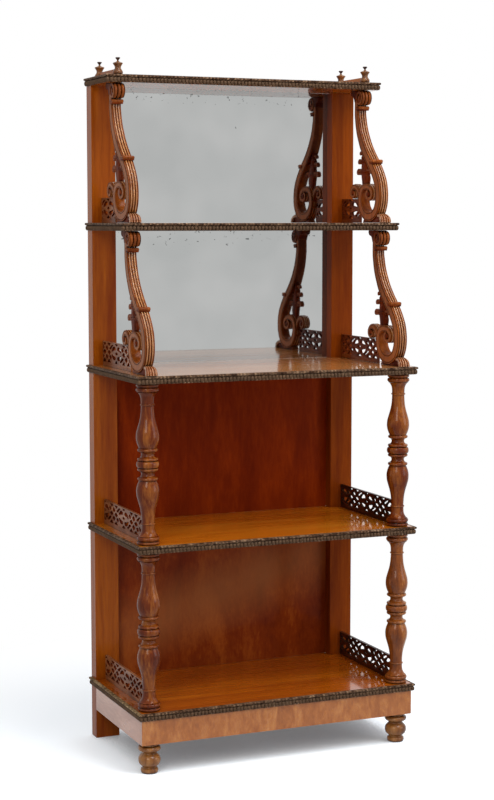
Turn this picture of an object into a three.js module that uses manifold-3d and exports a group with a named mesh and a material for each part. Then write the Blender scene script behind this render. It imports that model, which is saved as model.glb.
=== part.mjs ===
// A five-shelf etagere in polished wood: two back stiles, turned columns, carved scroll brackets,
// fretwork side galleries, two mirrors above and two wooden panels below.
// Millimetres, +Z up. The origin is on the floor, under the middle of the whole object.
// X runs from left to right and -Y points to the front.
import * as THREE from 'three';
import { mergeVertices } from 'three/addons/utils/BufferGeometryUtils.js';
import Module from 'manifold-3d';

const wasm = await Module();
wasm.setup();

// Carcass
const overallWidth = 668; // over the side mouldings
const fullDepth = 352; // shelves 3, 4 and 5, from the back to the moulding's nose
const setbackShare = 0.2727; // of the depth, by which shelf 2 stands back, and shelf 1 again
const boardThick = 17;
const plinthTop = 120.5; // underside of the base shelf
const columnTier = 346.5; // clear height of tiers 3 and 4
const bracketTier = 305; // clear height of tiers 1 and 2
const glueLine = 0.25; // gap left between pieces that are glued or seated
const overrun = 2; // how far a cutting body passes a face

// Stiles and what their back rebates hold
const stileWidth = 56;
const stileThick = 32;
const rebateWidth = 9;
const rebateDepth = 6.5;
const panelThick = 6;
const mirrorThick = 3;
const mirrorBackThick = 2.75;

// Edge moulding: a carved torus below a small rounded fillet
const mouldingReach = 7;
const torusHeight = 11.2;
const torusCore = 3; // how far out the torus's centre lies
const quirkDepth = 1.6; // groove between torus and fillet
const filletRound = 2.6;
const torusSteps = 5;

// Columns
const columnInset = 26; // from the board's edge to the column's axis
const columnRadius = 25.25;
const tenonRadius = 9;
const tenonLength = 7;
const boreSlack = 0.3; // radial and end clearance of a tenon in its bore
const columnSides = 12;

// Feet and plinth
const apronHeight = 53.5;
const apronThick = 18;
const mitreShift = glueLine * Math.SQRT2; // opens a mitre by the glue line
const blockSide = 34;
const footRadius = 25;
const footTenonRadius = 6;
const footTenonLength = 26;
const footSides = 12;
const backRailThick = 18;

// Finials and top rails
const finialHeight = 37;
const finialRadius = 11.5;
const finialTenonRadius = 3.5;
const finialTenonLength = 9;
const finialSides = 10;
const frontFinialSetback = 18; // from the top shelf's nose to the axis
const topRailHeight = 12;
const topRailThick = 8;

// Fretwork galleries
const galleryHeight = 56;
const galleryThick = 7;
const galleryTopRail = 4.25;
const galleryBottomRail = 9;
const fretPeriods = { 1: 0.7, 2: 1.45, 3: 2.045, 4: 2.045 }; // rosette spacings along each tier's gallery
const fretRepeats = 2;
const fretRows = 4;
const fretBar = 4.4; // width of the lattice bars
const fretEndBar = 5; // solid wood left at a gallery's two ends
const roseHoleShare = 0.142; // length of the rosette's holes, of its period
const roseHoleHeight = 10.5;
const roseEyeRadius = 3;

// Scroll brackets: u is measured back from the nose of the shelf below, v up from its top face
const bracketThick = 22;
const neckInset = 39.5; // from the upper shelf's nose back to the middle of the strap's neck
const strapWidth = 25;
const rollRadius = 17.25;
const rollWidth = 27;
const capThick = 6;
const capStepDrop = 15;
const capLipDrop = 5;
const collarHeight = 7;
const collarWidth = 28;
const collarDepth = 32;
const voluteWidth = 24;
const backScrollLength = 58;
const backScrollHeight = 37;
const backScrollWidth = 18;
const leafWidth = 15;
const leafCupDrop = 9; // how far a cup's underside curves in below its lip
const footBlockWidth = 30;
const footBlockTopWidth = 23;
const footBlockHeight = 19;
const footBlockFront = 2;
const footBlockBack = 40;
const footBlockTopFront = 24;
const strapStations = 34;
const scrollSides = 20;

// Places worked out from the sizes above
const yBack = fullDepth / 2;
const boardWidth = overallWidth - 2 * mouldingReach;
const xEdge = boardWidth / 2; // edge of the boards and outer face of the stiles
const xColumn = xEdge - columnInset;
const yColumn = yBack - fullDepth + mouldingReach + columnInset;
const yStileFront = yBack - stileThick;
const boardBottoms = [];
boardBottoms[5] = plinthTop;
boardBottoms[4] = boardBottoms[5] + boardThick + columnTier;
boardBottoms[3] = boardBottoms[4] + boardThick + columnTier;
boardBottoms[2] = boardBottoms[3] + boardThick + bracketTier;
boardBottoms[1] = boardBottoms[2] + boardThick + bracketTier;
const shelfTop = (n) => boardBottoms[n] + boardThick;
const shelfSetback = setbackShare * fullDepth;
const shelfDepth = (n) => fullDepth - Math.max(3 - n, 0) * shelfSetback;
const noseY = (n) => yBack - shelfDepth(n);
const sides = { left: -1, right: 1 };
const shelves = [1, 2, 3, 4, 5];

const finish = (color, roughness, metalness) => (
  new THREE.MeshStandardMaterial({ color, roughness, metalness })
);
const woods = {
  stile: finish('#a8581f', 0.3, 0),
  shelf: finish('#a85c22', 0.25, 0),
  moulding: finish('#4a3a30', 0.55, 0),
  bracket: finish('#8f4620', 0.35, 0),
  column: finish('#8a431c', 0.3, 0),
  gallery: finish('#5a2c16', 0.45, 0),
  panel: finish('#7c2e12', 0.3, 0),
  plinth: finish('#b0662f', 0.3, 0),
  inner: finish('#9a6a3f', 0.8, 0),
};
const mirrorFinish = finish('#c9cccd', 0.05, 1);

const part = new THREE.Group();

function addNode(name, geometry, material, x = 0, y = 0, z = 0) {
  const mesh = new THREE.Mesh(geometry, material);
  mesh.name = name;
  mesh.position.set(x, y, z);
  part.add(mesh);
  return mesh;
}

// A box between two corners.
function boxBetween(low, high) {
  const size = high.map((value, axis) => value - low[axis]);
  const middle = high.map((value, axis) => (value + low[axis]) / 2);
  return new THREE.BoxGeometry(...size).translate(...middle);
}

// Turns a closed geometry into a solid that can be joined and cut.
function toSolid(geometry) {
  const bare = geometry.clone();
  bare.deleteAttribute('normal');
  bare.deleteAttribute('uv');
  const merged = mergeVertices(bare);
  const triVerts = new Uint32Array(merged.index.array);
  const vertProperties = new Float32Array(merged.attributes.position.array);
  return new wasm.Manifold(new wasm.Mesh({ numProp: 3, vertProperties, triVerts }));
}

function toGeometry(solid) {
  const { vertProperties, triVerts, numProp } = solid.getMesh();
  const places = new Float32Array((vertProperties.length / numProp) * 3);
  for (let i = 0; i < places.length / 3; i += 1) {
    places.set(vertProperties.subarray(i * numProp, i * numProp + 3), i * 3);
  }
  const geometry = new THREE.BufferGeometry();
  geometry.setAttribute('position', new THREE.BufferAttribute(places, 3));
  geometry.setIndex([...triVerts]);
  return geometry;
}

const cutFrom = (geometry, cutters) => toGeometry(
  cutters.reduce((body, cutter) => body.subtract(toSolid(cutter)), toSolid(geometry)),
);
const joined = (geometries) => toGeometry(
  geometries.map(toSolid).reduce((body, next) => body.add(next)),
);

// An upright prism on a plan outline, from height low to height high.
function prismOnPlan(outline, low, high) {
  const shape = new THREE.Shape(outline);
  const prism = new THREE.ExtrudeGeometry(shape, { depth: high - low, bevelEnabled: false });
  return prism.translate(0, 0, low);
}

// A plate that stands in a plane across X: its outline is in (y, z) and it is centred on x = 0.
function plateAcross(outline, thick) {
  const shape = new THREE.Shape(outline);
  const plate = new THREE.ExtrudeGeometry(shape, { depth: thick, bevelEnabled: false });
  return plate.rotateX(Math.PI / 2).rotateZ(Math.PI / 2).translate(-thick / 2, 0, 0);
}

// A turned body about the Z axis from (radius, height) points that start and end on the axis.
function turned(points, segments) {
  const profile = points.map(([radius, height]) => new THREE.Vector2(radius, height));
  return new THREE.LatheGeometry(profile, segments).rotateX(Math.PI / 2);
}

const cylinderUp = (radius, low, high, segments) => turned(
  [[0, low], [radius, low], [radius, high], [0, high]],
  segments,
);

const points2 = (pairs) => pairs.map(([a, b]) => new THREE.Vector2(a, b));

function ellipseOutline(centreA, centreB, lengthA, lengthB, count) {
  return Array.from({ length: count }, (_, i) => {
    const angle = (2 * Math.PI * i) / count;
    return new THREE.Vector2(
      centreA + (lengthA / 2) * Math.cos(angle),
      centreB + (lengthB / 2) * Math.sin(angle),
    );
  });
}

// Stiles: an upright with a rebate along its inner back edge.
function stileOutline(side) {
  const inner = xEdge - stileWidth;
  const outline = points2([
    [side * xEdge, yStileFront], [side * xEdge, yBack], [side * (inner + rebateWidth), yBack],
    [side * (inner + rebateWidth), yBack - rebateDepth], [side * inner, yBack - rebateDepth],
    [side * inner, yStileFront],
  ]);
  return side > 0 ? outline : outline.reverse();
}

const stile = (side) => prismOnPlan(stileOutline(side), 0, boardBottoms[1] - glueLine);

for (const [name, side] of Object.entries(sides)) addNode(`stile_${name}`, stile(side), woods.stile);

// Shelves: shelf 1 lies on top of the stiles, the others are notched round them and bored for tenons.
function shelfOutline(n) {
  const front = noseY(n) + mouldingReach;
  if (n === 1) return points2([[-xEdge, front], [xEdge, front], [xEdge, yBack], [-xEdge, yBack]]);
  const notchX = xEdge - stileWidth - glueLine;
  const notchY = yStileFront - glueLine;
  return points2([
    [-xEdge, front], [xEdge, front], [xEdge, notchY], [notchX, notchY],
    [notchX, yBack], [-notchX, yBack], [-notchX, notchY], [-xEdge, notchY],
  ]);
}

const yFrontFinial = noseY(1) + frontFinialSetback;
const yBackFinial = yBack - stileThick / 2;
const boreDepth = tenonLength + boreSlack;

// A shelf's blind bores: for the finials on top, and for the columns above and below it.
function shelfBores(n) {
  const bores = [];
  const radius = tenonRadius + boreSlack;
  const bore = (side, y, size, low, high, segments) => {
    bores.push(cylinderUp(size, low, high, segments).translate(side * xColumn, y, 0));
  };
  for (const side of Object.values(sides)) {
    if (n === 1) {
      const low = boardThick - finialTenonLength - boreSlack;
      const size = finialTenonRadius + boreSlack;
      bore(side, yFrontFinial, size, low, boardThick + overrun, finialSides);
      bore(side, yBackFinial, size, low, boardThick + overrun, finialSides);
    }
    if (n >= 4) bore(side, yColumn, radius, boardThick - boreDepth, boardThick + overrun, columnSides);
    if (n === 3 || n === 4) bore(side, yColumn, radius, -overrun, boreDepth, columnSides);
  }
  return bores;
}

const shelf = (n) => cutFrom(prismOnPlan(shelfOutline(n), 0, boardThick), shelfBores(n));

for (const n of shelves) addNode(`shelf_${n}`, shelf(n), woods.shelf, 0, 0, boardBottoms[n]);

// The edge moulding's section, as (reach out from the board's edge, height above its underside).
function mouldingSection() {
  const section = [[glueLine, 0], [torusCore, 0]];
  const reach = mouldingReach - torusCore;
  const half = torusHeight / 2;
  for (let i = 1; i <= torusSteps; i += 1) {
    const angle = -Math.PI / 2 + (Math.PI * i) / (torusSteps + 1);
    section.push([torusCore + reach * Math.cos(angle), half + half * Math.sin(angle)]);
  }
  const filletReach = mouldingReach - quirkDepth / 2;
  const bow = filletRound * (1 - Math.SQRT1_2);
  section.push([filletReach - quirkDepth, torusHeight]);
  section.push([filletReach, torusHeight + quirkDepth / 2]);
  section.push([filletReach, boardThick - filletRound]);
  section.push([filletReach - bow, boardThick - bow]);
  section.push([filletReach - filletRound, boardThick]);
  section.push([glueLine, boardThick]);
  return section;
}

// A strip whose section is carried from one end to the other; each end is a function that places a
// section point (reach, height) in space.
function strip(section, startOf, endOf) {
  const places = [];
  for (const [reach, height] of section) places.push(...startOf(reach, height));
  for (const [reach, height] of section) places.push(...endOf(reach, height));
  const count = section.length;
  const faces = [];
  for (let i = 0; i < count; i += 1) {
    const next = (i + 1) % count;
    faces.push(i, i + count, next, next, i + count, next + count);
  }
  for (const [a, b, c] of THREE.ShapeUtils.triangulateShape(points2(section), [])) {
    faces.push(a, b, c, a + count, c + count, b + count);
  }
  const geometry = new THREE.BufferGeometry();
  geometry.setAttribute('position', new THREE.Float32BufferAttribute(places, 3));
  geometry.setIndex(faces);
  return geometry;
}

function frontMoulding(n) {
  const front = noseY(n) + mouldingReach;
  const mitred = (side) => (reach, height) => [
    side * (xEdge + reach - mitreShift), front - reach, height,
  ];
  return strip(mouldingSection(), mitred(-1), mitred(1));
}

function sideMoulding(n, side) {
  const front = noseY(n) + mouldingReach;
  const mitred = (reach, height) => [side * (xEdge + reach), front - reach, height];
  const square = (reach, height) => [side * (xEdge + reach), yBack, height];
  return side > 0 ? strip(mouldingSection(), mitred, square) : strip(mouldingSection(), square, mitred);
}

for (const n of shelves) {
  addNode(`moulding_${n}_front`, frontMoulding(n), woods.moulding, 0, 0, boardBottoms[n]);
  for (const [name, side] of Object.entries(sides)) {
    addNode(`moulding_${n}_${name}`, sideMoulding(n, side), woods.moulding, 0, 0, boardBottoms[n]);
  }
}

// Columns: half the turned profile, mirrored about its middle. Radii are shares of the column's
// radius, heights are shares of half its clear height.
const halfColumnShares = [
  [0.965, 0], [0.965, 0.03], [0.845, 0.042], [0.885, 0.058], [0.86, 0.078], [0.565, 0.105],
  [0.6, 0.135], [0.86, 0.165], [0.86, 0.19], [0.755, 0.2], [0.9, 0.245], [0.995, 0.32], [0.97, 0.392],
  [0.87, 0.45], [0.71, 0.525], [0.58, 0.62], [0.54, 0.71], [0.62, 0.737], [0.55, 0.757], [0.57, 0.81],
  [0.72, 0.865], [0.98, 0.905], [0.96, 0.94], [0.84, 0.951], [0.97, 0.968], [0.965, 0.995],
];

function columnProfile(height) {
  const half = height / 2;
  const ends = half - glueLine;
  const scaled = halfColumnShares.map(([r, h]) => [r * columnRadius, h * half]);
  const endRadius = scaled[scaled.length - 1][0];
  const upper = [...scaled, [endRadius, ends], [tenonRadius, ends], [tenonRadius, ends + tenonLength]];
  const lower = upper.slice(1).map(([r, h]) => [r, -h]).reverse();
  return [[0, -ends - tenonLength], ...lower, ...upper, [0, ends + tenonLength]];
}

// The lower end of the turned column, as (radius, height above its shelf) points up to a given height,
// for the edge of the gallery that is cut to it.
function columnFootLine(top) {
  const half = columnTier / 2;
  const line = halfColumnShares.map(([r, h]) => [r * columnRadius, (1 - h) * half]).reverse();
  const above = line.findIndex(([, height]) => height > top);
  const [r0, h0] = line[above - 1];
  const [r1, h1] = line[above];
  const last = [r0 + ((r1 - r0) * (top - h0)) / (h1 - h0), top];
  return [[line[0][0], glueLine], ...line.slice(0, above), last];
}

const column = () => turned(columnProfile(columnTier), columnSides);

for (const tier of [3, 4]) {
  const z = shelfTop(tier + 1) + columnTier / 2;
  for (const [name, side] of Object.entries(sides)) {
    addNode(`column_${tier}_${name}`, column(), woods.column, side * xColumn, yColumn, z);
  }
}

// Plinth: three mitred aprons, a back rail, and a block in each front corner for the foot's tenon.
const apronLow = plinthTop - glueLine - apronHeight;
const apronTop = plinthTop - glueLine;
const yApron = noseY(5) + mouldingReach;

const frontApron = () => prismOnPlan(points2([
  [-xEdge, yApron], [xEdge, yApron],
  [xEdge - apronThick, yApron + apronThick], [-xEdge + apronThick, yApron + apronThick],
]), apronLow, apronTop);

function sideApron(side) {
  const inner = side * (xEdge - apronThick);
  const outer = side * xEdge;
  const plan = points2([
    [outer, yApron + mitreShift], [outer, yStileFront - glueLine],
    [inner, yStileFront - glueLine], [inner, yApron + apronThick + mitreShift],
  ]);
  return prismOnPlan(side > 0 ? plan : plan.reverse(), apronLow, apronTop);
}

function cornerBlock(side) {
  const near = xEdge - apronThick - glueLine;
  const front = yApron + apronThick + glueLine;
  const block = boxBetween(
    [Math.min(side * near, side * (near - blockSide)), front, apronLow],
    [Math.max(side * near, side * (near - blockSide)), front + blockSide, apronTop],
  );
  const boreTop = apronLow + footTenonLength + boreSlack;
  const bore = cylinderUp(footTenonRadius + boreSlack, apronLow - overrun, boreTop, footSides);
  return cutFrom(block, [bore.translate(side * xColumn, yColumn, 0)]);
}

function backRail() {
  const reach = xEdge - stileWidth - glueLine;
  const rear = yBack - rebateDepth;
  return boxBetween([-reach, rear - backRailThick, apronLow], [reach, rear, apronTop]);
}

addNode('apron_front', frontApron(), woods.plinth);
addNode('back_rail', backRail(), woods.inner);
for (const [name, side] of Object.entries(sides)) {
  addNode(`apron_${name}`, sideApron(side), woods.plinth);
  addNode(`corner_block_${name}`, cornerBlock(side), woods.inner);
}

// Turned feet: radii as shares of the foot's radius, heights as shares of its height.
const footHeight = apronLow - glueLine;
const footShares = [
  [0.66, 0], [0.76, 0.03], [0.78, 0.1], [0.7, 0.16], [0.61, 0.2], [0.72, 0.26], [0.93, 0.36],
  [0.98, 0.45], [0.9, 0.55], [0.66, 0.63], [0.64, 0.68], [0.8, 0.73], [1, 0.8], [0.97, 0.88],
  [0.8, 0.94], [0.8, 1],
];
const foot = () => turned([
  [0, 0], ...footShares.map(([r, h]) => [r * footRadius, h * footHeight]),
  [footTenonRadius, footHeight], [footTenonRadius, footHeight + footTenonLength],
  [0, footHeight + footTenonLength],
], footSides);

for (const [name, side] of Object.entries(sides)) {
  addNode(`foot_${name}`, foot(), woods.column, side * xColumn, yColumn, 0);
}

// Finials: a bulb, a flared cup with a pointed lid, and a small dished knob.
const finialShares = [
  [0.86, 0], [0.98, 0.12], [0.97, 0.22], [0.78, 0.33], [0.64, 0.42], [0.68, 0.5], [1, 0.6],
  [0.97, 0.64], [0.45, 0.7], [0.2, 0.78], [0.2, 0.82], [0.48, 0.94], [0.46, 1], [0.2, 0.97],
];
const finialRise = (share) => glueLine + share * (finialHeight - glueLine);

const finial = () => turned([
  [0, -finialTenonLength], [finialTenonRadius, -finialTenonLength], [finialTenonRadius, glueLine],
  ...finialShares.map(([r, h]) => [r * finialRadius, finialRise(h)]),
  [0, finialRise(finialShares[finialShares.length - 1][1])],
], finialSides);

const topRail = () => boxBetween(
  [-topRailThick / 2, yFrontFinial + finialRadius + glueLine, glueLine],
  [topRailThick / 2, yBackFinial - finialRadius - glueLine, topRailHeight],
);

for (const [name, side] of Object.entries(sides)) {
  const x = side * xColumn;
  addNode(`finial_front_${name}`, finial(), woods.column, x, yFrontFinial, shelfTop(1));
  addNode(`finial_back_${name}`, finial(), woods.column, x, yBackFinial, shelfTop(1));
  addNode(`top_rail_${name}`, topRail(), woods.stile, x, 0, shelfTop(1));
}

// Mirrors with their backing boards above, wooden panels below, all in the stiles' rebates.
function backPlate(tier, thick, behind) {
  const reach = xEdge - stileWidth + rebateWidth - glueLine;
  const y = yBack - rebateDepth + glueLine + behind;
  const low = shelfTop(tier + 1) + glueLine;
  return boxBetween([-reach, y, low], [reach, y + thick, boardBottoms[tier] - glueLine]);
}

for (const tier of [1, 2]) {
  addNode(`mirror_${tier}`, backPlate(tier, mirrorThick, 0), mirrorFinish);
  addNode(`mirror_back_${tier}`, backPlate(tier, mirrorBackThick, mirrorThick + glueLine), woods.inner);
}
for (const tier of [3, 4]) addNode(`panel_${tier}`, backPlate(tier, panelThick, 0), woods.panel);

// Carved brackets. Outlines are in (u, v): u back from the lower shelf's nose, v up from its top.
// Places on a bracket are shares of the neck's setback and of the tier's clear height.
const neckBack = shelfSetback + neckInset;
const bracketTop = bracketTier - glueLine;
const bracketSpot = ([back, up]) => [back * neckBack, up * bracketTier];
const upperCollarShares = [0.959, 0.866];
const lowerCollarShares = [0.435, 0.456];
const voluteShares = [0.524, 0.233];
const voluteSizeShares = [0.487, 0.131];
const leafFootShares = [0.539, 0.249];
const leafTopShares = [0.871, 0.557];
const rollBackShare = 0.8745;
const capStepShare = 1.122;
const capRearShare = 1.21;
const backScrollShare = 1.07;

// The strap's middle line runs from the neck down to the front, under the C-scroll and up its back.
const strapLineShares = [
  [1, 0.92], [1, 0.865], [0.981, 0.78], [0.904, 0.675], [0.766, 0.57], [0.572, 0.482], [0.379, 0.392],
  [0.24, 0.305], [0.192, 0.215], [0.222, 0.115], [0.36, 0.058], [0.52, 0.046], [0.7, 0.068],
  [0.83, 0.125], [0.855, 0.2], [0.79, 0.275],
];
// The strap's width along that line, as shares of its greatest width.
const strapWidthShares = [
  0.68, 0.7, 0.8, 0.9, 0.92, 0.82, 0.84, 0.96, 1, 0.94, 0.86, 0.84, 0.9, 1.05, 1.08, 0.95,
];

const shareAt = (shares, t) => {
  const place = t * (shares.length - 1);
  const index = Math.min(Math.floor(place), shares.length - 2);
  return shares[index] + (shares[index + 1] - shares[index]) * (place - index);
};

function strapOutline() {
  const line = new THREE.SplineCurve(points2(strapLineShares.map(bracketSpot)));
  const front = [];
  const rear = [];
  for (let i = 0; i <= strapStations; i += 1) {
    const t = i / strapStations;
    const middle = line.getPoint(t);
    const along = line.getTangent(t);
    const half = (shareAt(strapWidthShares, t) * strapWidth) / 2;
    front.push(new THREE.Vector2(middle.x + along.y * half, middle.y - along.x * half));
    rear.push(new THREE.Vector2(middle.x - along.y * half, middle.y + along.x * half));
  }
  return [...front.reverse(), ...rear];
}

// The leaf that rises behind the strap: three cups, one above the other, whose lips stand at shares
// of the leaf's height. A cup's section runs from its underside to its lip, in shares of its reach
// and drop. The leaf ends on the strap's back, at shares of its own width and height.
const cupRiseShares = [0.41, 0.68, 0.88];
const cupReach = [18, 14, 8];
const cupShares = [[0, 1], [1, 0.25], [1, 0], [0.25, 0]];
const leafEndShares = [[0.72, 1], [0.3, 0.73]];

function leafOutline() {
  const [leafFront, leafFoot] = bracketSpot(leafFootShares);
  const [leafRear, leafTop] = bracketSpot(leafTopShares);
  const height = leafTop - leafFoot;
  const lips = cupRiseShares.map((share) => leafFoot + share * height);
  const rear = lips.flatMap((lip, i) => (
    cupShares.map(([out, down]) => [leafRear + out * cupReach[i], lip - down * leafCupDrop])
  ));
  const ends = leafEndShares.map(([back, up]) => [
    leafFront + back * (leafRear - leafFront), leafFoot + up * height,
  ]);
  return points2([
    [leafFront, leafFoot], [leafRear, leafFoot], ...rear, ...ends,
    [leafFront - leafCupDrop, lips[0]], [leafFront, lips[0] - leafCupDrop],
  ]);
}

// A block whose front slopes back and whose sides draw in toward its top.
function footBlock() {
  const wide = footBlockWidth / 2;
  const narrow = footBlockTopWidth / 2;
  const low = [
    [-wide, footBlockFront], [wide, footBlockFront],
    [wide, footBlockBack], [-wide, footBlockBack],
  ];
  const high = [
    [-narrow, footBlockTopFront], [narrow, footBlockTopFront],
    [narrow, footBlockBack], [-narrow, footBlockBack],
  ];
  const places = [
    ...low.map(([x, u]) => [x, u, glueLine]),
    ...high.map(([x, u]) => [x, u, footBlockHeight]),
  ];
  const faces = [0, 2, 1, 0, 3, 2, 4, 5, 6, 4, 6, 7];
  for (const [a, b] of [[0, 1], [1, 2], [2, 3], [3, 0]]) faces.push(a, b, b + 4, a, b + 4, a + 4);
  const geometry = new THREE.BufferGeometry();
  geometry.setAttribute('position', new THREE.Float32BufferAttribute(places.flat(), 3));
  geometry.setIndex(faces);
  return geometry;
}

// The slab under the upper shelf, which steps down to the neck.
function capOutline() {
  const neckRear = neckBack + (strapWidthShares[0] * strapWidth) / 2;
  const rollBack = rollBackShare * neckBack;
  const capRear = capRearShare * neckBack;
  return points2([
    [rollBack, bracketTop - capStepDrop - capThick], [neckRear, bracketTop - capStepDrop - capThick],
    [capStepShare * neckBack, bracketTop - capThick - capLipDrop], [capRear, bracketTop - capThick],
    [capRear, bracketTop], [rollBack, bracketTop],
  ]);
}

function neckOutline() {
  const half = (strapWidthShares[0] * strapWidth) / 2;
  const low = bracketSpot(upperCollarShares)[1];
  return points2([
    [neckBack - half, low], [neckBack + half, low],
    [neckBack + half, bracketTop - capThick], [rollBackShare * neckBack, bracketTop - capThick],
  ]);
}

const collar = ([u, v]) => boxBetween(
  [-collarWidth / 2, u - collarDepth / 2, v - collarHeight / 2],
  [collarWidth / 2, u + collarDepth / 2, v + collarHeight / 2],
);

const scroll = ([u, v], [length, height], width) => (
  plateAcross(ellipseOutline(u, v, length, height, scrollSides), width)
);

function bracket() {
  const roll = [rollBackShare * neckBack, bracketTop - rollRadius];
  const backScroll = [backScrollShare * neckBack, galleryHeight + boreSlack + backScrollHeight / 2];
  return joined([
    plateAcross(strapOutline(), bracketThick),
    plateAcross(capOutline(), bracketThick),
    plateAcross(neckOutline(), bracketThick),
    plateAcross(leafOutline(), leafWidth),
    scroll(roll, [2 * rollRadius, 2 * rollRadius], rollWidth),
    scroll(bracketSpot(voluteShares), bracketSpot(voluteSizeShares), voluteWidth),
    scroll(backScroll, [backScrollLength, backScrollHeight], backScrollWidth),
    collar(bracketSpot(upperCollarShares)),
    collar(bracketSpot(lowerCollarShares)),
    footBlock(),
  ]);
}

for (const tier of [1, 2]) {
  const y = noseY(tier + 1);
  const z = shelfTop(tier + 1);
  for (const [name, side] of Object.entries(sides)) {
    addNode(`bracket_${tier}_${name}`, bracket(), woods.bracket, side * xColumn, y, z);
  }
}

// Galleries. A gallery's outline is in (s, v): s forward from the stile's face, v up from the shelf.
const fretLow = galleryBottomRail;
const fretHigh = galleryHeight - galleryTopRail;
const fretMiddle = (fretLow + fretHigh) / 2;

// The fret's lattice holes, as shares of the period counted from a rosette: where the hole's middle
// lies, how far its cell runs toward the rosette and away from it, and the rows that are pierced. A
// hole that stands alone has no twin on the rosette's other side.
const latticeShares = [
  { along: 0, toward: 0.085, away: 0.085, rows: [-2, 2], alone: true },
  { along: 0.311, toward: 0.071, away: 0.071, rows: [-1, 1] },
  { along: 0.382, toward: 0.071, away: 0.118, rows: [-2, 0, 2] },
  { along: 0.5, toward: 0.118, away: 0.118, rows: [-1, 1], alone: true },
];

// A diamond hole with a bar's width of wood round it; in the two outer rows it is half a diamond.
function latticeHole(centre, period, alongSign, row, cell) {
  const rowHeight = (fretHigh - fretLow) / fretRows;
  const s = centre + alongSign * cell.along * period;
  const v = fretMiddle + row * rowHeight;
  const half = fretBar / 2;
  const reach = (share) => {
    const cellReach = share * period;
    return cellReach - (half * Math.hypot(cellReach, rowHeight)) / rowHeight;
  };
  const narrow = Math.min(cell.toward, cell.away) * period;
  const rise = rowHeight - (half * Math.hypot(narrow, rowHeight)) / narrow;
  const left = alongSign > 0 ? reach(cell.toward) : reach(cell.away);
  const right = alongSign > 0 ? reach(cell.away) : reach(cell.toward);
  const corners = [[s - left, v], [s, v - rise], [s + right, v], [s, v + rise]];
  return points2(corners.filter(([, height]) => Math.abs(height - fretMiddle) < 2 * rowHeight + half));
}

// A comma-shaped hole beside the rosette's eye; the signs turn it to its own quarter.
const commaShares = [[0.08, 0.05], [0.5, -0.12], [0.95, 0.2], [1, 0.75], [0.62, 1], [0.3, 0.72]];
function comma(s, period, alongSign, upSign) {
  const outline = commaShares.map(([a, b]) => [
    s + alongSign * (roseEyeRadius + fretBar / 2 + a * roseHoleShare * period),
    fretMiddle + upSign * (fretBar + b * roseHoleHeight),
  ]);
  return points2(alongSign * upSign > 0 ? outline : outline.reverse());
}

// The holes of a gallery that runs from startS to endS, with a rosette in its middle.
function fretHoles(startS, endS, periods) {
  const middle = (startS + endS) / 2;
  const period = (endS - startS) / periods;
  const holes = [];
  for (let k = -fretRepeats; k <= fretRepeats; k += 1) {
    const centre = middle + k * period;
    holes.push(ellipseOutline(centre, fretMiddle, 2 * roseEyeRadius, 2 * roseEyeRadius, 6));
    for (const alongSign of [-1, 1]) {
      for (const upSign of [-1, 1]) holes.push(comma(centre, period, alongSign, upSign));
    }
    for (const cell of latticeShares) {
      const signs = cell.alone ? [1] : [-1, 1];
      for (const alongSign of signs) {
        for (const row of cell.rows) holes.push(latticeHole(centre, period, alongSign, row, cell));
      }
    }
  }
  return holes;
}

// A gallery's front end. The lower ones are cut to the foot of the column, the upper ones butt against
// the back of the bracket's C-scroll.
function galleryEnd(tier) {
  if (tier >= 3) {
    const reach = yStileFront - yColumn - boreSlack;
    return columnFootLine(galleryHeight).map(([radius, v]) => [reach - radius, v]);
  }
  const scrollRear = Math.max(...strapOutline().filter((p) => p.y < galleryHeight).map((p) => p.x));
  const reach = yStileFront - noseY(tier + 1) - scrollRear - boreSlack;
  return [[reach, glueLine], [reach, galleryHeight]];
}

function gallery(tier) {
  const end = galleryEnd(tier);
  const outline = points2([[glueLine, glueLine], ...end, [glueLine, galleryHeight]]);
  const nearest = Math.min(...end.filter(([, v]) => v > fretLow).map(([reach]) => reach));
  const safe = (hole) => hole.every((p) => p.x > glueLine + fretEndBar && p.x < nearest - fretEndBar);
  const holes = fretHoles(glueLine, end[end.length - 1][0], fretPeriods[tier]).filter(safe);
  const forward = (outlinePoints) => outlinePoints.map((p) => new THREE.Vector2(-p.x, p.y)).reverse();
  const cutters = holes.map((hole) => plateAcross(forward(hole), galleryThick + overrun));
  return cutFrom(plateAcross(forward(outline), galleryThick), cutters);
}

for (const tier of [1, 2, 3, 4]) {
  const z = shelfTop(tier + 1);
  for (const [name, side] of Object.entries(sides)) {
    addNode(`gallery_${tier}_${name}`, gallery(tier), woods.gallery, side * xColumn, yStileFront, z);
  }
}

export default part;
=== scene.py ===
"""A five-shelf etagere in french-polished mahogany: turned columns, carved scroll brackets,
fretwork galleries, gadrooned shelf edges and two old mirror plates."""

import math

import bmesh
import bpy
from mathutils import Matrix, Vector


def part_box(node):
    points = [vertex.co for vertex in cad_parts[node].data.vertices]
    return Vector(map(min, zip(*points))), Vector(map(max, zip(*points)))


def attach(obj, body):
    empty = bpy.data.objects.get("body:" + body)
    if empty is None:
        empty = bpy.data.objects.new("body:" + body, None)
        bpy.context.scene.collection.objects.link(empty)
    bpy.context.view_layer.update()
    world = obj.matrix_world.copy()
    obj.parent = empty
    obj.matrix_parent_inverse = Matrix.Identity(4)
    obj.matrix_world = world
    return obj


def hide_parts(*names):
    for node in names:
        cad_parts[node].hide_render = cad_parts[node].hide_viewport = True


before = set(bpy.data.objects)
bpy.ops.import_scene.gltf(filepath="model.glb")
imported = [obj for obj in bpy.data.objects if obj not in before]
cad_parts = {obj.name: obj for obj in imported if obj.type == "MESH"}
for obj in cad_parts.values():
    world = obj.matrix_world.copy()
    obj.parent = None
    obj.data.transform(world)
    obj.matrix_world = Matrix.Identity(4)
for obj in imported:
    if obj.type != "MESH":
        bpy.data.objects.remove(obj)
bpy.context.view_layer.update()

MM = 0.001
SIDES = {"left": -1, "right": 1}
TIERS = (1, 2, 3, 4)
SHELVES = (1, 2, 3, 4, 5)

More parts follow.
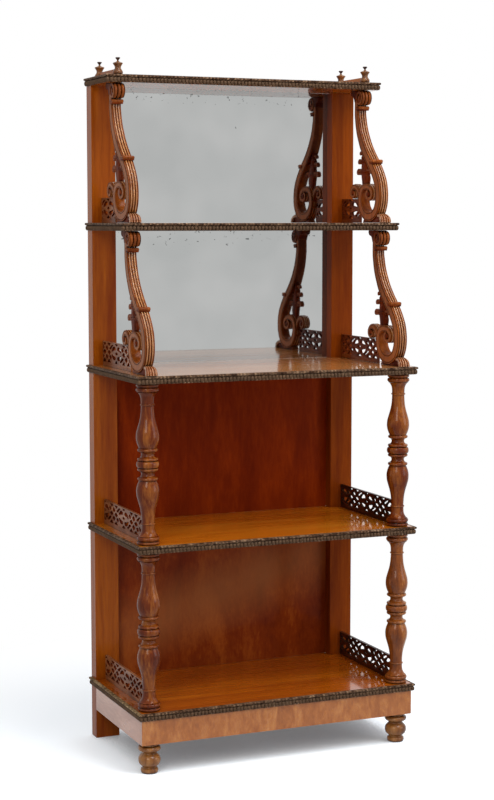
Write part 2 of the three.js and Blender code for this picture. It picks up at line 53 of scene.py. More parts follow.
# Sizes in millimetres that the pieces share.
MOULDING_REACH = 7
GADROON_PITCH = 8.35
GLUE_LINE = 0.25
GALLERY_HEIGHT = 56
GALLERY_THICK = 6
# Verts that lie closer than this are welded.
WELD = 0.002
# Two places that lie closer than this, in metres, are the same.
TOUCHING = 1e-6


# Work at the bench: one piece at a time, opened in edit mode, shaped and closed again.
def clear_selection():
    bpy.ops.object.select_all(action="DESELECT")


def called(piece, name):
    """The piece and its mesh, named alike."""
    piece.name = name
    piece.data.name = name
    return piece


def open_piece(name):
    """Names the primitive that was just added and opens it in edit mode."""
    piece = called(bpy.context.object, name)
    bpy.ops.object.transform_apply(location=True, rotation=True, scale=True)
    bpy.ops.object.mode_set(mode="EDIT")
    bpy.ops.mesh.select_all(action="SELECT")
    return piece


def pick(piece, kind, test):
    """Selects the faces, edges or verts of the open piece that pass the test, and nothing else."""
    bpy.ops.mesh.select_mode(type={"verts": "VERT", "edges": "EDGE", "faces": "FACE"}[kind])
    bpy.ops.mesh.select_all(action="DESELECT")
    mesh = bmesh.from_edit_mesh(piece.data)
    mesh.normal_update()
    for element in getattr(mesh, kind):
        if test(element):
            element.select_set(True)
    bmesh.update_edit_mesh(piece.data)


def reopen(piece):
    """Opens a closed piece in edit mode again."""
    take_up(piece)
    bpy.ops.object.mode_set(mode="EDIT")


def edge_along(edge, axis):
    """Whether an edge lies along an axis, 0 for x, 1 for y and 2 for z."""
    run = edge.verts[1].co - edge.verts[0].co
    return run.length > 0 and abs(run[axis]) > 0.99 * run.length


def close_piece(piece, smooth_angle=35):
    """Leaves edit mode with the faces outward, smooth up to that many degrees."""
    bpy.ops.mesh.select_all(action="SELECT")
    bpy.ops.mesh.remove_doubles(threshold=WELD * MM)
    bpy.ops.mesh.normals_make_consistent(inside=False)
    bpy.ops.object.mode_set(mode="OBJECT")
    bpy.ops.object.shade_smooth_by_angle(angle=math.radians(smooth_angle))
    return piece


def take_up(*pieces):
    """Selects these pieces, the first of them active."""
    clear_selection()
    for piece in pieces:
        piece.select_set(True)
    bpy.context.view_layer.objects.active = pieces[0]


def settle(piece):
    """Puts the piece's place into its mesh, so that its object sits at the origin."""
    take_up(piece)
    bpy.ops.object.transform_apply(location=True, rotation=True, scale=True)
    return piece


def joined(name, pieces):
    """One piece made of several, which keep their finishes."""
    take_up(*pieces)
    bpy.ops.object.join()
    return called(bpy.context.object, name)


def moved_copy(piece, name, shift):
    """A copy with its own mesh, moved by a shift in metres."""
    take_up(piece)
    bpy.ops.object.duplicate(linked=False)
    made = called(bpy.context.object, name)
    made.location = shift
    return settle(made)


def remove(*pieces):
    for piece in pieces:
        bpy.data.objects.remove(piece)


def finished(piece, finish):
    piece.data.materials.clear()
    piece.data.materials.append(finish)
    return piece


def lay(piece, number):
    """Gives the selected faces of the open piece its finish of that number."""
    piece.active_material_index = number
    bpy.ops.object.material_slot_assign()


def fit(piece, node):
    """The piece stands for a node of the frame."""
    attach(piece, "root")
    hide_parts(node)


# Lines that the turner and the carver work to, in millimetres.
def on_curve(before, start, end, after, t):
    """The point at share t of a smooth bend from start to end."""
    return tuple(
        0.5 * (2 * b + (c - a) * t + (2 * a - 5 * b + 4 * c - d) * t ** 2
               + (3 * b - a - 3 * c + d) * t ** 3)
        for a, b, c, d in zip(before, start, end, after))


def flowing(points, steps=4):
    """A smooth line through the points, with that many steps from one to the next."""
    line = []
    last = len(points) - 1
    for i in range(last):
        before, after = points[max(i - 1, 0)], points[min(i + 2, last)]
        for k in range(steps):
            line.append(on_curve(before, points[i], points[i + 1], after, k / steps))
    line.append(tuple(points[-1]))
    return line


def flowing_ring(points, steps=3):
    """The same, closed on itself."""
    n = len(points)
    return [on_curve(points[i - 1], points[i], points[(i + 1) % n], points[(i + 2) % n], k / steps)
            for i in range(n) for k in range(steps)]


def bead(centre, half, inner, outer, steps=6):
    """The (height, radius) points of a round bead on a turned piece."""
    return [
        (centre - half * math.cos(math.pi * k / steps),
         inner + (outer - inner) * math.sin(math.pi * k / steps))
        for k in range(steps + 1)
    ]


def share_along(stops, t):
    """The value at t of a list of (share, value) stops."""
    for (t0, v0), (t1, v1) in zip(stops, stops[1:]):
        if t <= t1:
            return v0 + (v1 - v0) * (t - t0) / (t1 - t0)
    return stops[-1][1]


def turned(name, profile, sides, place=(0, 0, 0), smooth_angle=35):
    """A turned piece: a disc drawn up ring by ring through (height, radius) points in millimetres,
    at place in metres."""
    clear_selection()
    height, radius = profile[0]
    x, y, z = place
    bpy.ops.mesh.primitive_circle_add(
        vertices=sides, radius=radius * MM, fill_type="NGON", location=(x, y, z + height * MM))
    piece = open_piece(name)
    for next_height, next_radius in profile[1:]:
        rise = (next_height - height) * MM
        growth = next_radius / radius
        bpy.ops.mesh.extrude_region_move(TRANSFORM_OT_translate={"value": (0, 0, rise)})
        bpy.ops.transform.resize(value=(growth, growth, 1), center_override=place)
        height, radius = next_height, next_radius
    return close_piece(piece, smooth_angle)


# A sawn plate lies flat until it is stood up: its x runs back, its y up, and its thickness along z.
def sawn_plate(name, outline, thick, round_over=0.0, holes=()):
    """A plate sawn to an outline and pierced by holes, its outer arrises rounded over."""
    clear_selection()
    curve = bpy.data.curves.new(name, "CURVE")
    curve.dimensions = "2D"
    curve.fill_mode = "BOTH"
    for line in (outline, *holes):
        spline = curve.splines.new("POLY")
        spline.points.add(len(line) - 1)
        for point, (u, v) in zip(spline.points, line):
            point.co = (u * MM, v * MM, 0, 1)
        spline.use_cyclic_u = True
    drawn = bpy.data.objects.new(name, curve)
    bpy.context.scene.collection.objects.link(drawn)
    take_up(drawn)
    bpy.ops.object.convert(target="MESH")
    plate = open_piece(name)
    bpy.ops.mesh.remove_doubles(threshold=WELD * MM)
    bpy.ops.transform.translate(value=(0, 0, -thick / 2 * MM))
    bpy.ops.mesh.extrude_region_move(TRANSFORM_OT_translate={"value": (0, 0, thick * MM)})
    if round_over:
        bpy.ops.mesh.select_all(action="SELECT")
        bpy.ops.mesh.normals_make_consistent(inside=False)
        rim = {(round(u, 2), round(v, 2)) for u, v in outline}

        def on_arris(edge):
            """Whether an edge lies between a flat side of the plate and its outer wall."""
            flat_sides = sum(abs(face.normal.z) > 0.9 for face in edge.link_faces)
            return len(edge.link_faces) == 2 and flat_sides == 1 and all(
                (round(v.co.x / MM, 2), round(v.co.y / MM, 2)) in rim for v in edge.verts)

        pick(plate, "edges", on_arris)
        bpy.ops.mesh.bevel(offset=round_over * MM, segments=2, affect="EDGES")
    return close_piece(plate)


def stand_up(piece):
    """Stands a flat piece up, so that its x runs back and its y runs up."""
    piece.rotation_euler = (math.pi / 2, 0, math.pi / 2)
    return settle(piece)


def box_piece(name, low, high, round_over, segments):
    """A block between two corners, with its edges rounded over in that many segments."""
    clear_selection()
    middle = [(a + b) / 2 * MM for a, b in zip(low, high)]
    size = [(b - a) * MM for a, b in zip(low, high)]
    bpy.ops.mesh.primitive_cube_add(size=1, location=middle, scale=size)
    piece = open_piece(name)
    bpy.ops.mesh.bevel(offset=round_over * MM, segments=segments, affect="EDGES")
    return close_piece(piece)


# A carved bar is worked straight, with reeds on its front and grooved sides, and is then bent to
# its line.
def bar_path(name, points):
    """The line that a bar is bent to, smooth through the points, and its length in metres."""
    curve = bpy.data.curves.new(name, "CURVE")
    curve.dimensions = "2D"
    curve.resolution_u = 16
    spline = curve.splines.new("BEZIER")
    spline.bezier_points.add(len(points) - 1)
    for point, (u, v) in zip(spline.bezier_points, points):
        point.co = (u * MM, v * MM, 0)
        point.handle_left_type = "AUTO"
        point.handle_right_type = "AUTO"
    path = bpy.data.objects.new(name, curve)
    bpy.context.scene.collection.objects.link(path)
    return path, spline.calc_length()


def scored(axis, places):
    """Scores lines round the open piece, square to an axis, at places in metres along it."""
    normal = [0, 0, 0]
    normal[axis] = 1
    for place in places:
        bpy.ops.mesh.select_all(action="SELECT")
        bpy.ops.mesh.bisect(plane_co=[place * part for part in normal], plane_no=normal)


def thinned(bar, length, stations, thin, narrow):
    """Parts the open bar into stations, each thinned and narrowed as the carver's lines ask."""
    for new_stations in (stations // 2 - 1, 1):
        pick(bar, "edges", lambda edge: edge_along(edge, 0))
        bpy.ops.mesh.subdivide(number_cuts=new_stations)
    for k in range(stations + 1):
        share = k / stations
        at = share * length
        size = (1, share_along(thin, share), share_along(narrow, share))
        pick(bar, "verts", lambda v: abs(v.co.x - at) < 0.2 * length / stations)
        bpy.ops.transform.resize(value=size, center_override=(at, 0, 0))


def carved_bar(name, points, thick, width, reeds, reed_rise, border, groove, sunk, stations, thin,
               finishes, narrow=((0, 1), (1, 1)), front_side=-1):
    """A bar bent through the points, that many millimetres thick and wide, with a number of reeds
    that rise between two plain borders. Each side has a groove of that width, sunk below it.
    thin and narrow are lists of (share of the length, share of the thickness or width), which
    hold at that many stations along the bar. The reeds lie on the right of the line where
    front_side is -1, and on its left where it is 1. finishes are those of the body, of the
    reeds' crests and of the quirks between them."""
    path, length = bar_path(name + "_line", points)
    half_thick, half_width = thick / 2 * MM, width / 2 * MM
    clear_selection()
    bpy.ops.mesh.primitive_cube_add(
        size=1, location=(length / 2, 0, 0), scale=(length, 2 * half_thick, 2 * half_width))
    bar = open_piece(name)
    for finish in finishes:
        bar.data.materials.append(finish)
    # Saw cuts that part the reeds from the quirks between them.
    reed_cell = (width - 2 * border) / reeds
    quirk = 0.2 * reed_cell
    crest_round = 0.28 * reed_cell
    arris_round = 0.3 * border
    cuts = [-width / 2 + border]
    for k in range(reeds):
        low = -width / 2 + border + k * reed_cell
        cuts += [low + quirk, low + reed_cell - quirk]
    cuts.append(width / 2 - border)
    scored(2, [cut * MM for cut in cuts])
    reed_spans = list(zip(cuts[1:-1:2], cuts[2:-1:2]))
    groove_top, groove_foot = half_thick - border * MM, half_thick - (border + groove) * MM
    scored(1, (groove_top, groove_foot, -groove_top, -groove_foot))

    def on_reed(face):
        middle = face.calc_center_median()
        on_front = face.normal.y * front_side > 0.9
        return on_front and any(low < middle.z / MM < high for low, high in reed_spans)

    def on_reed_top(face):
        return face.normal.y * front_side > 0.7 and abs(
            face.calc_center_median().y) > half_thick + 0.3 * reed_rise * MM

    pick(bar, "faces", on_reed)
    bpy.ops.mesh.extrude_region_move(
        TRANSFORM_OT_translate={"value": (0, front_side * reed_rise * MM, 0)})
    crest = front_side * half_thick + front_side * reed_rise * MM
    pick(bar, "edges", lambda edge: edge_along(edge, 0) and all(
        abs(v.co.y - crest) < TOUCHING for v in edge.verts))
    bpy.ops.mesh.bevel(offset=crest_round * MM, segments=4, affect="EDGES")
    pick(bar, "faces", on_reed_top)
    lay(bar, 1)
    pick(bar, "faces", lambda face: abs(face.normal.x) < 0.5 and not on_reed_top(face)
         and abs(face.calc_center_median().z) < half_width - 1.01 * border * MM
         and face.calc_center_median().y * front_side > half_thick - TOUCHING)
    lay(bar, 2)
    for side in (-1, 1):
        pick(bar, "faces", lambda face: face.normal.z * side > 0.9
             and groove_foot < abs(face.calc_center_median().y) < groove_top
             and abs(face.calc_center_median().z) > half_width - TOUCHING)
        bpy.ops.mesh.extrude_region_move(
            TRANSFORM_OT_translate={"value": (0, 0, -side * sunk * MM)})
        lay(bar, 2)
    pick(bar, "edges", lambda edge: edge_along(edge, 0) and all(
        abs(abs(v.co.z) - half_width) < TOUCHING and abs(abs(v.co.y) - half_thick) < TOUCHING
        for v in edge.verts))
    bpy.ops.mesh.bevel(offset=arris_round * MM, segments=2, affect="EDGES")
    thinned(bar, length, stations, thin, narrow)
    close_piece(bar, 40)
    bend = bar.modifiers.new("bend", "CURVE")
    bend.object = path
    bend.deform_axis = "POS_X"
    take_up(bar)
    bpy.ops.object.modifier_apply(modifier="bend")
    remove(path)
    return bar


# Finishes. Colours are sRGB hex values as they show, turned to linear by one function.
RAMP = "ShaderNodeValToRGB"
NOISE = "ShaderNodeTexNoise"
MULTIPLIED = {"data_type": "RGBA", "blend_type": "MULTIPLY", 0: 1.0}


def tint(code):
    """The linear colour of an sRGB hex value."""
    channels = [int(code[k:k + 2], 16) / 255 for k in (1, 3, 5)]
    linear = [c / 12.92 if c <= 0.04045 else ((c + 0.055) / 1.055) ** 2.4 for c in channels]
    return (*linear, 1)


def add(tree, kind, settings=None, links=None):
    """Adds a node: settings are its attributes, its sockets by name or number, or a ramp's stops of
    (position, hex or grey), and links are the sockets that feed it."""
    made = tree.nodes.new(kind)
    for key, value in (settings or {}).items():
        if key == "stops":
            band = made.color_ramp.elements
            while len(band) < len(value):
                band.new(0.5)
            for element, (position, shade) in zip(band, value):
                element.position = position
                element.color = tint(shade) if isinstance(shade, str) else (shade, shade, shade, 1)
        elif isinstance(key, int) or key in made.inputs:
            made.inputs[key].default_value = value
        else:
            setattr(made, key, value)
    for key, socket in (links or {}).items():
        tree.links.new(socket, made.inputs[key])
    return made


def new_finish(name, settings):
    """A material, its node tree and its shader, whose sockets have these settings."""
    finish = bpy.data.materials.new(name)
    finish.use_nodes = True
    tree = finish.node_tree
    shader = tree.nodes["Principled BSDF"]
    for key, value in settings.items():
        shader.inputs[key].default_value = value
    return finish, tree, shader


def drawn_out(tree, grain, draw):
    """The place on the object, drawn out that many times along the grain, which is x, y or z."""
    place = add(tree, "ShaderNodeTexCoord")
    scale = [1, 1, 1]
    scale["xyz".index(grain)] = 1 / draw
    along = add(tree, "ShaderNodeMapping", {"Scale": scale}, {"Vector": place.outputs["Object"]})
    return along.outputs["Vector"]


def blotches(size_mm, detail=3, distortion=0.0, roughness=0.55):
    """Settings of a noise whose blotches have that size in millimetres."""
    return {"Scale": 1 / (size_mm * MM), "Detail": detail, "Distortion": distortion,
            "Roughness": roughness}


def weighed(tree, parts):
    """The sum of (socket, weight) parts."""
    total = None
    for socket, weight in parts:
        links = {0: socket}
        if total is not None:
            links[2] = total
        settings = {"operation": "MULTIPLY_ADD", 1: weight, 2: 0.0}
        total = add(tree, "ShaderNodeMath", settings, links).outputs[0]
    return total


def hollow_shade_and_dirt(tree, reach_mm, stops):
    """Occlusion darkens corners and quirks within that reach: painted shade, and in the wood
    partly old polish and dust too.
    """
    hollow = add(tree, "ShaderNodeAmbientOcclusion", {"samples": 6, "Distance": reach_mm * MM})
    return add(tree, RAMP, {"stops": stops}, {"Fac": hollow.outputs["AO"]}).outputs["Color"]


def place_on_piece(tree):
    """The place on the object as separate X, Y and Z."""
    place = add(tree, "ShaderNodeTexCoord").outputs["Object"]
    return add(tree, "ShaderNodeSeparateXYZ", links={0: place}).outputs


def cut_across(tree, colour, pitch_mm, depth):
    """Dark cuts across an edge strip at that pitch."""
    place = place_on_piece(tree)
    # A front strip runs along x and a side strip along y, so their sum runs along both.
    per_metre = math.tau / (pitch_mm * MM)
    turn = weighed(tree, [(place["X"], per_metre), (place["Y"], per_metre)])
    swing = add(tree, "ShaderNodeMath", {"operation": "SINE"}, {0: turn})
    shade = add(tree, RAMP, {"stops": [(0.0, depth), (0.7, 1.0)]}, {"Fac": swing.outputs[0]})
    return add(tree, "ShaderNodeMix", MULTIPLIED, {6: colour, 7: shade.outputs["Color"]}).outputs[2]


def painted_reflection_band(tree, vector, colour, reflected_colour, strength):
    """A painted reflection: a pale band aslant over a back panel, patchy in clouds."""
    place = place_on_piece(tree)
    # The band's middle runs from a height of about 235 mm on the left to 400 mm on the right.
    off_band = weighed(tree, [(place["Z"], 1.0), (place["X"], -0.31)])
    band = add(tree, RAMP, {"stops": [
        (0.2, 0.0), (0.3, strength), (0.335, strength), (0.42, 0.0)]}, {"Fac": off_band})
    cloudy = add(tree, NOISE, blotches(120, 2), {"Vector": vector})
    patchy = add(tree, RAMP, {"stops": [(0.3, 0.5), (0.6, 1.0)]}, {"Fac": cloudy.outputs["Fac"]})
    weight = add(tree, "ShaderNodeMath", {"operation": "MULTIPLY"}, {
        0: band.outputs["Color"], 1: patchy.outputs["Color"]})
    veiled = add(tree, "ShaderNodeMix", {"data_type": "RGBA", 7: tint(reflected_colour)}, {
        0: weight.outputs[0], 6: colour})
    return veiled.outputs[2]


def polished_wood(name, grain, shades, gloss, sheen, figure=60, draw=14, rough=0.3, hollows=None,
                  rubbed_and_highlit=None, spread=0.14, reflection_band=None, ticks=None):
    """French-polished wood, whose shellac skin is a thin coat over the wood.
    grain is the axis that the wood runs along, figure the width of its broad figure in mm, and
    draw how many times longer than wide the figure is. shades run from the dark of the figure to
    its light, and spread is how far apart they lie. gloss is the weight of the shellac skin, sheen
    the shine of the wood below it, and rough its roughness. hollows are the reach in mm and the
    depth of a darkening in its corners, partly old polish and grime and partly painted shade. The
    colour given for crests is paler, partly rubbing and partly painted highlight, with where it
    starts and ends on the scale of Pointiness; the band's colour and strength paint a reflection
    aslant; ticks are the pitch in mm and the depth of the cuts across an edge."""
    finish, tree, shader = new_finish(name, {
        "IOR": 1.5, "Specular IOR Level": sheen, "Coat Weight": gloss, "Coat Roughness": 0.09,
        "Coat IOR": 1.45})
    vector = drawn_out(tree, grain, draw)
    broad = add(tree, NOISE, blotches(figure, 4, 0.8), {"Vector": vector}).outputs["Fac"]
    # Growth lines about 6 mm apart, and pores of 0.3 mm drawn 1.6 mm wide so that they show.
    lines = add(tree, NOISE, blotches(6, 3, 0.4), {"Vector": vector}).outputs["Fac"]
    pores = add(tree, NOISE, blotches(1.6, 2), {"Vector": vector}).outputs["Fac"]
    mixed = weighed(tree, [(broad, 0.62), (lines, 0.26), (pores, 0.12)])
    dark, middle, light = shades
    figured = add(tree, RAMP, {"stops": [
        (0.5 - spread, dark), (0.5, middle), (0.5 + spread, light)]}, {"Fac": mixed})
    colour = figured.outputs["Color"]
    # Corners darkened by occlusion: partly old polish and grime, partly painted shade.
    if hollows:
        reach, depth = hollows
        shade_and_grime = hollow_shade_and_dirt(tree, reach, [(0.3, depth), (0.85, 1.0)])
        colour = add(tree, "ShaderNodeMix", MULTIPLIED, {6: colour, 7: shade_and_grime}).outputs[2]
    if ticks:
        colour = cut_across(tree, colour, *ticks)
    # Crests paler where Pointiness is high: partly rubbing, partly a painted highlight.
    if rubbed_and_highlit:
        rubbed, start, end = rubbed_and_highlit
        crest = add(tree, "ShaderNodeNewGeometry").outputs["Pointiness"]
        edge = add(tree, RAMP, {"stops": [(start, 0.0), (end, 1.0)]}, {"Fac": crest})
        colour = add(tree, "ShaderNodeMix", {"data_type": "RGBA", 7: tint(rubbed)}, {
            0: edge.outputs["Color"], 6: colour}).outputs[2]
    # A painted reflection band.
    if reflection_band:
        colour = painted_reflection_band(tree, vector, colour, *reflection_band)
    tree.links.new(colour, shader.inputs["Base Color"])
    dulled = add(tree, "ShaderNodeMapRange", {
        "From Min": 0.35, "From Max": 0.65, "To Min": rough + 0.06, "To Max": rough - 0.06},
        {"Value": broad})
    tree.links.new(dulled.outputs[0], shader.inputs["Roughness"])
    open_grain = add(tree, "ShaderNodeBump", {"Strength": 0.06, "Distance": 0.3 * MM},
                     {"Height": pores})
    tree.links.new(open_grain.outputs["Normal"], shader.inputs["Normal"])
    return finish


def raw_wood(name, grain, shades):
    """Sawn softwood that was never polished, dry and matt, with streaks of 30 mm and growth lines
    of 4 mm."""
    finish, tree, shader = new_finish(name, {
        "IOR": 1.5, "Specular IOR Level": 0.2, "Roughness": 0.8})
    vector = drawn_out(tree, grain, 20)
    streaks = add(tree, NOISE, blotches(30, 4, 0.6), {"Vector": vector}).outputs["Fac"]
    lines = add(tree, NOISE, blotches(4), {"Vector": vector}).outputs["Fac"]
    mixed = weighed(tree, [(streaks, 0.6), (lines, 0.4)])
    dark, middle, light = shades
    colour = add(tree, RAMP, {"stops": [(0.36, dark), (0.5, middle), (0.62, light)]}, {
        "Fac": mixed})
    tree.links.new(colour.outputs["Color"], shader.inputs["Base Color"])
    return finish


def mirror_plate(name, node):
    """Silvered glass, greyed by age in soft clouds, with dark foxing along its upper edge."""
    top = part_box(node)[1].z
    finish, tree, shader = new_finish(name, {"Metallic": 1.0, "Roughness": 0.03})
    place = add(tree, "ShaderNodeTexCoord").outputs["Object"]
    haze = add(tree, NOISE, blotches(180, 2), {"Vector": place})
    grey = add(tree, RAMP, {"stops": [(0.35, "#afb1b0"), (0.65, "#b9bab9")]}, {
        "Fac": haze.outputs["Fac"]})
    # Foxing specks of about 4 mm, thickening over the upper 55 mm.
    height = add(tree, "ShaderNodeSeparateXYZ", links={0: place}).outputs["Z"]
    band = add(tree, "ShaderNodeMapRange", {
        "From Min": top - 55 * MM, "From Max": top - 25 * MM, "To Min": 0.0, "To Max": 0.125},
        {"Value": height})
    rot = add(tree, NOISE, blotches(9, 3, 0.4, 0.6), {"Vector": place}).outputs["Fac"]
    rotten = weighed(tree, [(rot, 1.0), (band.outputs[0], 1.0)])
    specks = add(tree, RAMP, {"stops": [(0.76, 1.0), (0.8, 0.25)]}, {"Fac": rotten})
    spotted = add(tree, "ShaderNodeMix", MULTIPLIED, {
        6: grey.outputs["Color"], 7: specks.outputs["Color"]})
    tree.links.new(spotted.outputs[2], shader.inputs["Base Color"])
    return finish


# Planed uprights under a thin rubbed polish: an even orange brown with hardly a shine, the right
# one redder.
UPRIGHT = polished_wood(
    "french polished mahogany, upright", "z", ("#752f04", "#8d4507", "#a4570e"),
    gloss=0.1, sheen=0.08)
UPRIGHT_RED = polished_wood(
    "french polished mahogany, redder upright", "z", ("#5e2204", "#763305", "#8d430a"),
    gloss=0.02, sheen=0.04)
# Planed boards under the fullest polish: golden brown, broadly figured, and glossy enough to mirror
# what stands on them. The middle board is paler, a painted reflection, and the base board darker,
# a deep orange in painted shade.
SHELF_TOP = polished_wood(
    "french polished mahogany, shelf", "x", ("#964708", "#bb670f", "#d58826"),
    gloss=0.85, sheen=0.08, rough=0.24, spread=0.2)
SHELF_REFLECTING = polished_wood(
    "french polished mahogany, shelf with painted reflection", "x", ("#a4622f", "#c28045", "#de9e58"),
    gloss=0.85, sheen=0.08, rough=0.24, spread=0.2)
SHELF_SHADED = polished_wood(
    "french polished mahogany, base shelf in painted shade", "x", ("#7c3405", "#9f4e08", "#bf6c14"),
    gloss=0.85, sheen=0.08, rough=0.24, spread=0.2)
# Sliced veneer: deep red with upright streaks and a dull skin. The lower sheet is stronger in
# figure, and a pale painted reflection runs aslant across it.
PANEL_HIGH = polished_wood(
    "mahogany veneer, upper back panel", "z", ("#541503", "#722404", "#8e3506"),
    gloss=0.0, sheen=0.03, figure=70, draw=5, rough=0.4, spread=0.2)
PANEL_LOW = polished_wood(
    "mahogany veneer, lower back panel, painted reflection", "z", ("#4e1502", "#782e08", "#a25218"),
    gloss=0.05, sheen=0.04, figure=90, draw=3, rough=0.35, spread=0.22, reflection_band=("#a86c3c", 0.5))
# Veneer laid across the plinth: a short, tight upright figure in warm tan, with a soft shine. The
# side is sawn along the grain, calmer and pinker.
PLINTH_FRONT = polished_wood(
    "polished mahogany, plinth front", "z", ("#85491c", "#9d5c27", "#b4753b"),
    gloss=0.3, sheen=0.3, figure=20, draw=2, spread=0.16)
PLINTH_SIDE = polished_wood(
    "polished mahogany, plinth side", "y", ("#9d6a50", "#b37c60", "#c99676"),
    gloss=0.5, sheen=0.3, figure=50, draw=5)
# Turned and then polished on the lathe: dark bodies, crests paler and golden, partly rubbed and
# partly a painted highlight, quirks nearly black, partly old polish and partly painted shade. One
# column is a lit copy, painted more golden, and the feet have lost most of their polish.
TURNED = polished_wood(
    "polished turned mahogany", "z", ("#3c1003", "#602606", "#8f521c"),
    gloss=0.26, sheen=0.05, figure=40, draw=6, rough=0.26, hollows=(6, 0.1),
    rubbed_and_highlit=("#b47c42", 0.54, 0.68))
TURNED_LIT = polished_wood(
    "polished turned mahogany, golden lit copy", "z", ("#5a2a0c", "#824619", "#b07a3c"),
    gloss=0.3, sheen=0.08, figure=40, draw=6, rough=0.26, hollows=(6, 0.1),
    rubbed_and_highlit=("#c89c60", 0.54, 0.68))
TURNED_PALE = polished_wood(
    "turned mahogany, polish rubbed thin", "z", ("#573010", "#7a4a1f", "#9b6a37"),
    gloss=0.4, sheen=0.1, figure=30, draw=5, hollows=(7, 0.05), rubbed_and_highlit=("#c49b68", 0.54, 0.68))
# The small finials: brown cups whose quirks are painted black as shade, and knobs that hands have
# left nearly black.
FINIAL = polished_wood(
    "turned mahogany, small finials", "z", ("#3a1e0c", "#5e381c", "#8a5e34"),
    gloss=0.35, sheen=0.08, figure=20, draw=5, hollows=(6, 0.0), rubbed_and_highlit=("#c49b68", 0.56, 0.7))
KNOB = polished_wood(
    "turned mahogany, knob nearly black", "z", ("#1c0f0a", "#33201a", "#4a3028"),
    gloss=0.2, sheen=0.08, figure=20, draw=5)
# Carved by hand and polished with a cloth. The reeds' crests are pale and shiny, a painted
# highlight, and the quirks between them dull and darker, in painted shade. The leaf and the scroll
# eyes are darkest, in painted shade, and the reeded foot is palest, with a painted highlight.
CARVED = polished_wood(
    "polished carved mahogany", "z", ("#4e1c06", "#74370f", "#985422"),
    gloss=0.08, sheen=0.03, figure=40, draw=5, rough=0.3, hollows=(7, 0.06),
    rubbed_and_highlit=("#c08050", 0.53, 0.66))
CARVED_CREST_HIGHLIT = polished_wood(
    "carved mahogany, reed crests with painted highlight", "z", ("#7d451d", "#a06735", "#c18c5c"),
    gloss=0.8, sheen=0.2, figure=30, draw=6, rough=0.3, hollows=(5, 0.3))
CARVED_QUIRK_SHADED = polished_wood(
    "carved mahogany, quirks in painted shade", "z", ("#4a1f0a", "#63300f", "#7c441a"),
    gloss=0.05, sheen=0.03, figure=30, draw=4, rough=0.4, hollows=(3, 0.5))
CARVED_SHADED = polished_wood(
    "carved mahogany, darker in painted shade", "z", ("#3a1206", "#5c220b", "#803813"),
    gloss=0.0, sheen=0.03, figure=30, draw=4, rough=0.35, hollows=(6, 0.12),
    rubbed_and_highlit=("#8a5030", 0.55, 0.7))
CARVED_HIGHLIT = polished_wood(
    "carved mahogany, paler with painted highlight", "z", ("#6d3f28", "#96623f", "#b88a68"),
    gloss=0.3, sheen=0.1, figure=20, draw=3, hollows=(4, 0.12), rubbed_and_highlit=("#e0bfa2", 0.53, 0.64))
# Fretwork is polished on its faces alone: they have a satin brown, painted lighter on the left and
# darker on the right as light and shade fall, and the walls that the fret saw left are matt and
# nearly black, a painted shade.
FRET_LIT_AND_SHADED = {
    "left": polished_wood(
        "polished fretwork mahogany, left, painted light", "y", ("#563018", "#7c4c30", "#a3714e"),
        gloss=0.15, sheen=0.05, figure=30, draw=5, rough=0.3, hollows=(4, 0.25)),
    "right": polished_wood(
        "polished fretwork mahogany, right, painted shade", "y", ("#1e0a05", "#36150a", "#502512"),
        gloss=0.2, sheen=0.06, figure=30, draw=5, rough=0.3, hollows=(4, 0.25)),
    "high right": polished_wood(
        "polished fretwork mahogany, upper right, painted half shade", "y", ("#421a08", "#632c10", "#874920"),
        gloss=0.15, sheen=0.05, figure=30, draw=5, rough=0.3, hollows=(4, 0.25)),
}
FRET_CUT_SHADED = {
    "left": polished_wood(
        "fretwork, saw cut walls in painted shade, left", "y", ("#361205", "#521d07", "#6c2d10"),
        gloss=0.0, sheen=0.02, figure=30, draw=5, rough=0.5),
    "right": polished_wood(
        "fretwork, saw cut walls in painted shade, right", "y", ("#140a06", "#24130b", "#381f12"),
        gloss=0.0, sheen=0.02, figure=30, draw=5, rough=0.5),
}
# Edges stained black like ebony and dulled by dust: the fillet is rubbed brown between dark nicks,
# one to a gadroon, the gadroons' hollows are darkened, partly grime and partly painted shade, and
# on the base's left edge the stain is rubbed off to the wood.
EDGE_FILLET = polished_wood(
    "shelf edge fillet, ebonised, rubbed brown", "x", ("#38251a", "#664c3a", "#9c7f64"),
    gloss=0.0, sheen=0.03, figure=8, draw=1.5, rough=0.5, hollows=(4, 0.15), spread=0.11,
    ticks=(GADROON_PITCH, 0.45))
EDGE_CARVED = polished_wood(
    "shelf edge gadroons, ebonised", "x", ("#1c0f08", "#372418", "#543d2c"),
    gloss=0.03, sheen=0.05, figure=12, draw=2, rough=0.4, hollows=(4, 0.12),
    rubbed_and_highlit=("#90755c", 0.56, 0.7))
EDGE_RUBBED = polished_wood(
    "base shelf edge, ebony rubbed off to the wood", "y", ("#4c3a26", "#8d7250", "#c2a67e"),
    gloss=0.0, sheen=0.03, figure=9, draw=2, rough=0.5, hollows=(4, 0.15), spread=0.12,
    ticks=(2 * GADROON_PITCH, 0.6))
# The top rails: planed bars of plain brown, their polish worn down to almost no shine.
RAIL = polished_wood(
    "polished mahogany, top rail", "y", ("#6e3a14", "#895020", "#a46a32"),
    gloss=0.08, sheen=0.05)
# Pine behind and inside, straight from the saw: dry, dull and light brown.
INNER = raw_wood("raw pine, inside", "x", ("#8a5c3a", "#a8764e", "#bd8d62"))
# Old plates: a grey, slightly cloudy reflection that is clear in the middle and spotted at the top.
MIRROR_HIGH = mirror_plate("aged silvered mirror plate, upper", "mirror_1")
MIRROR_LOW = mirror_plate("aged silvered mirror plate, lower", "mirror_2")


# The nodes of the frame that keep their own shape take their finish.
def dress(node, finish):
    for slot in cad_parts[node].material_slots:
        slot.material = finish


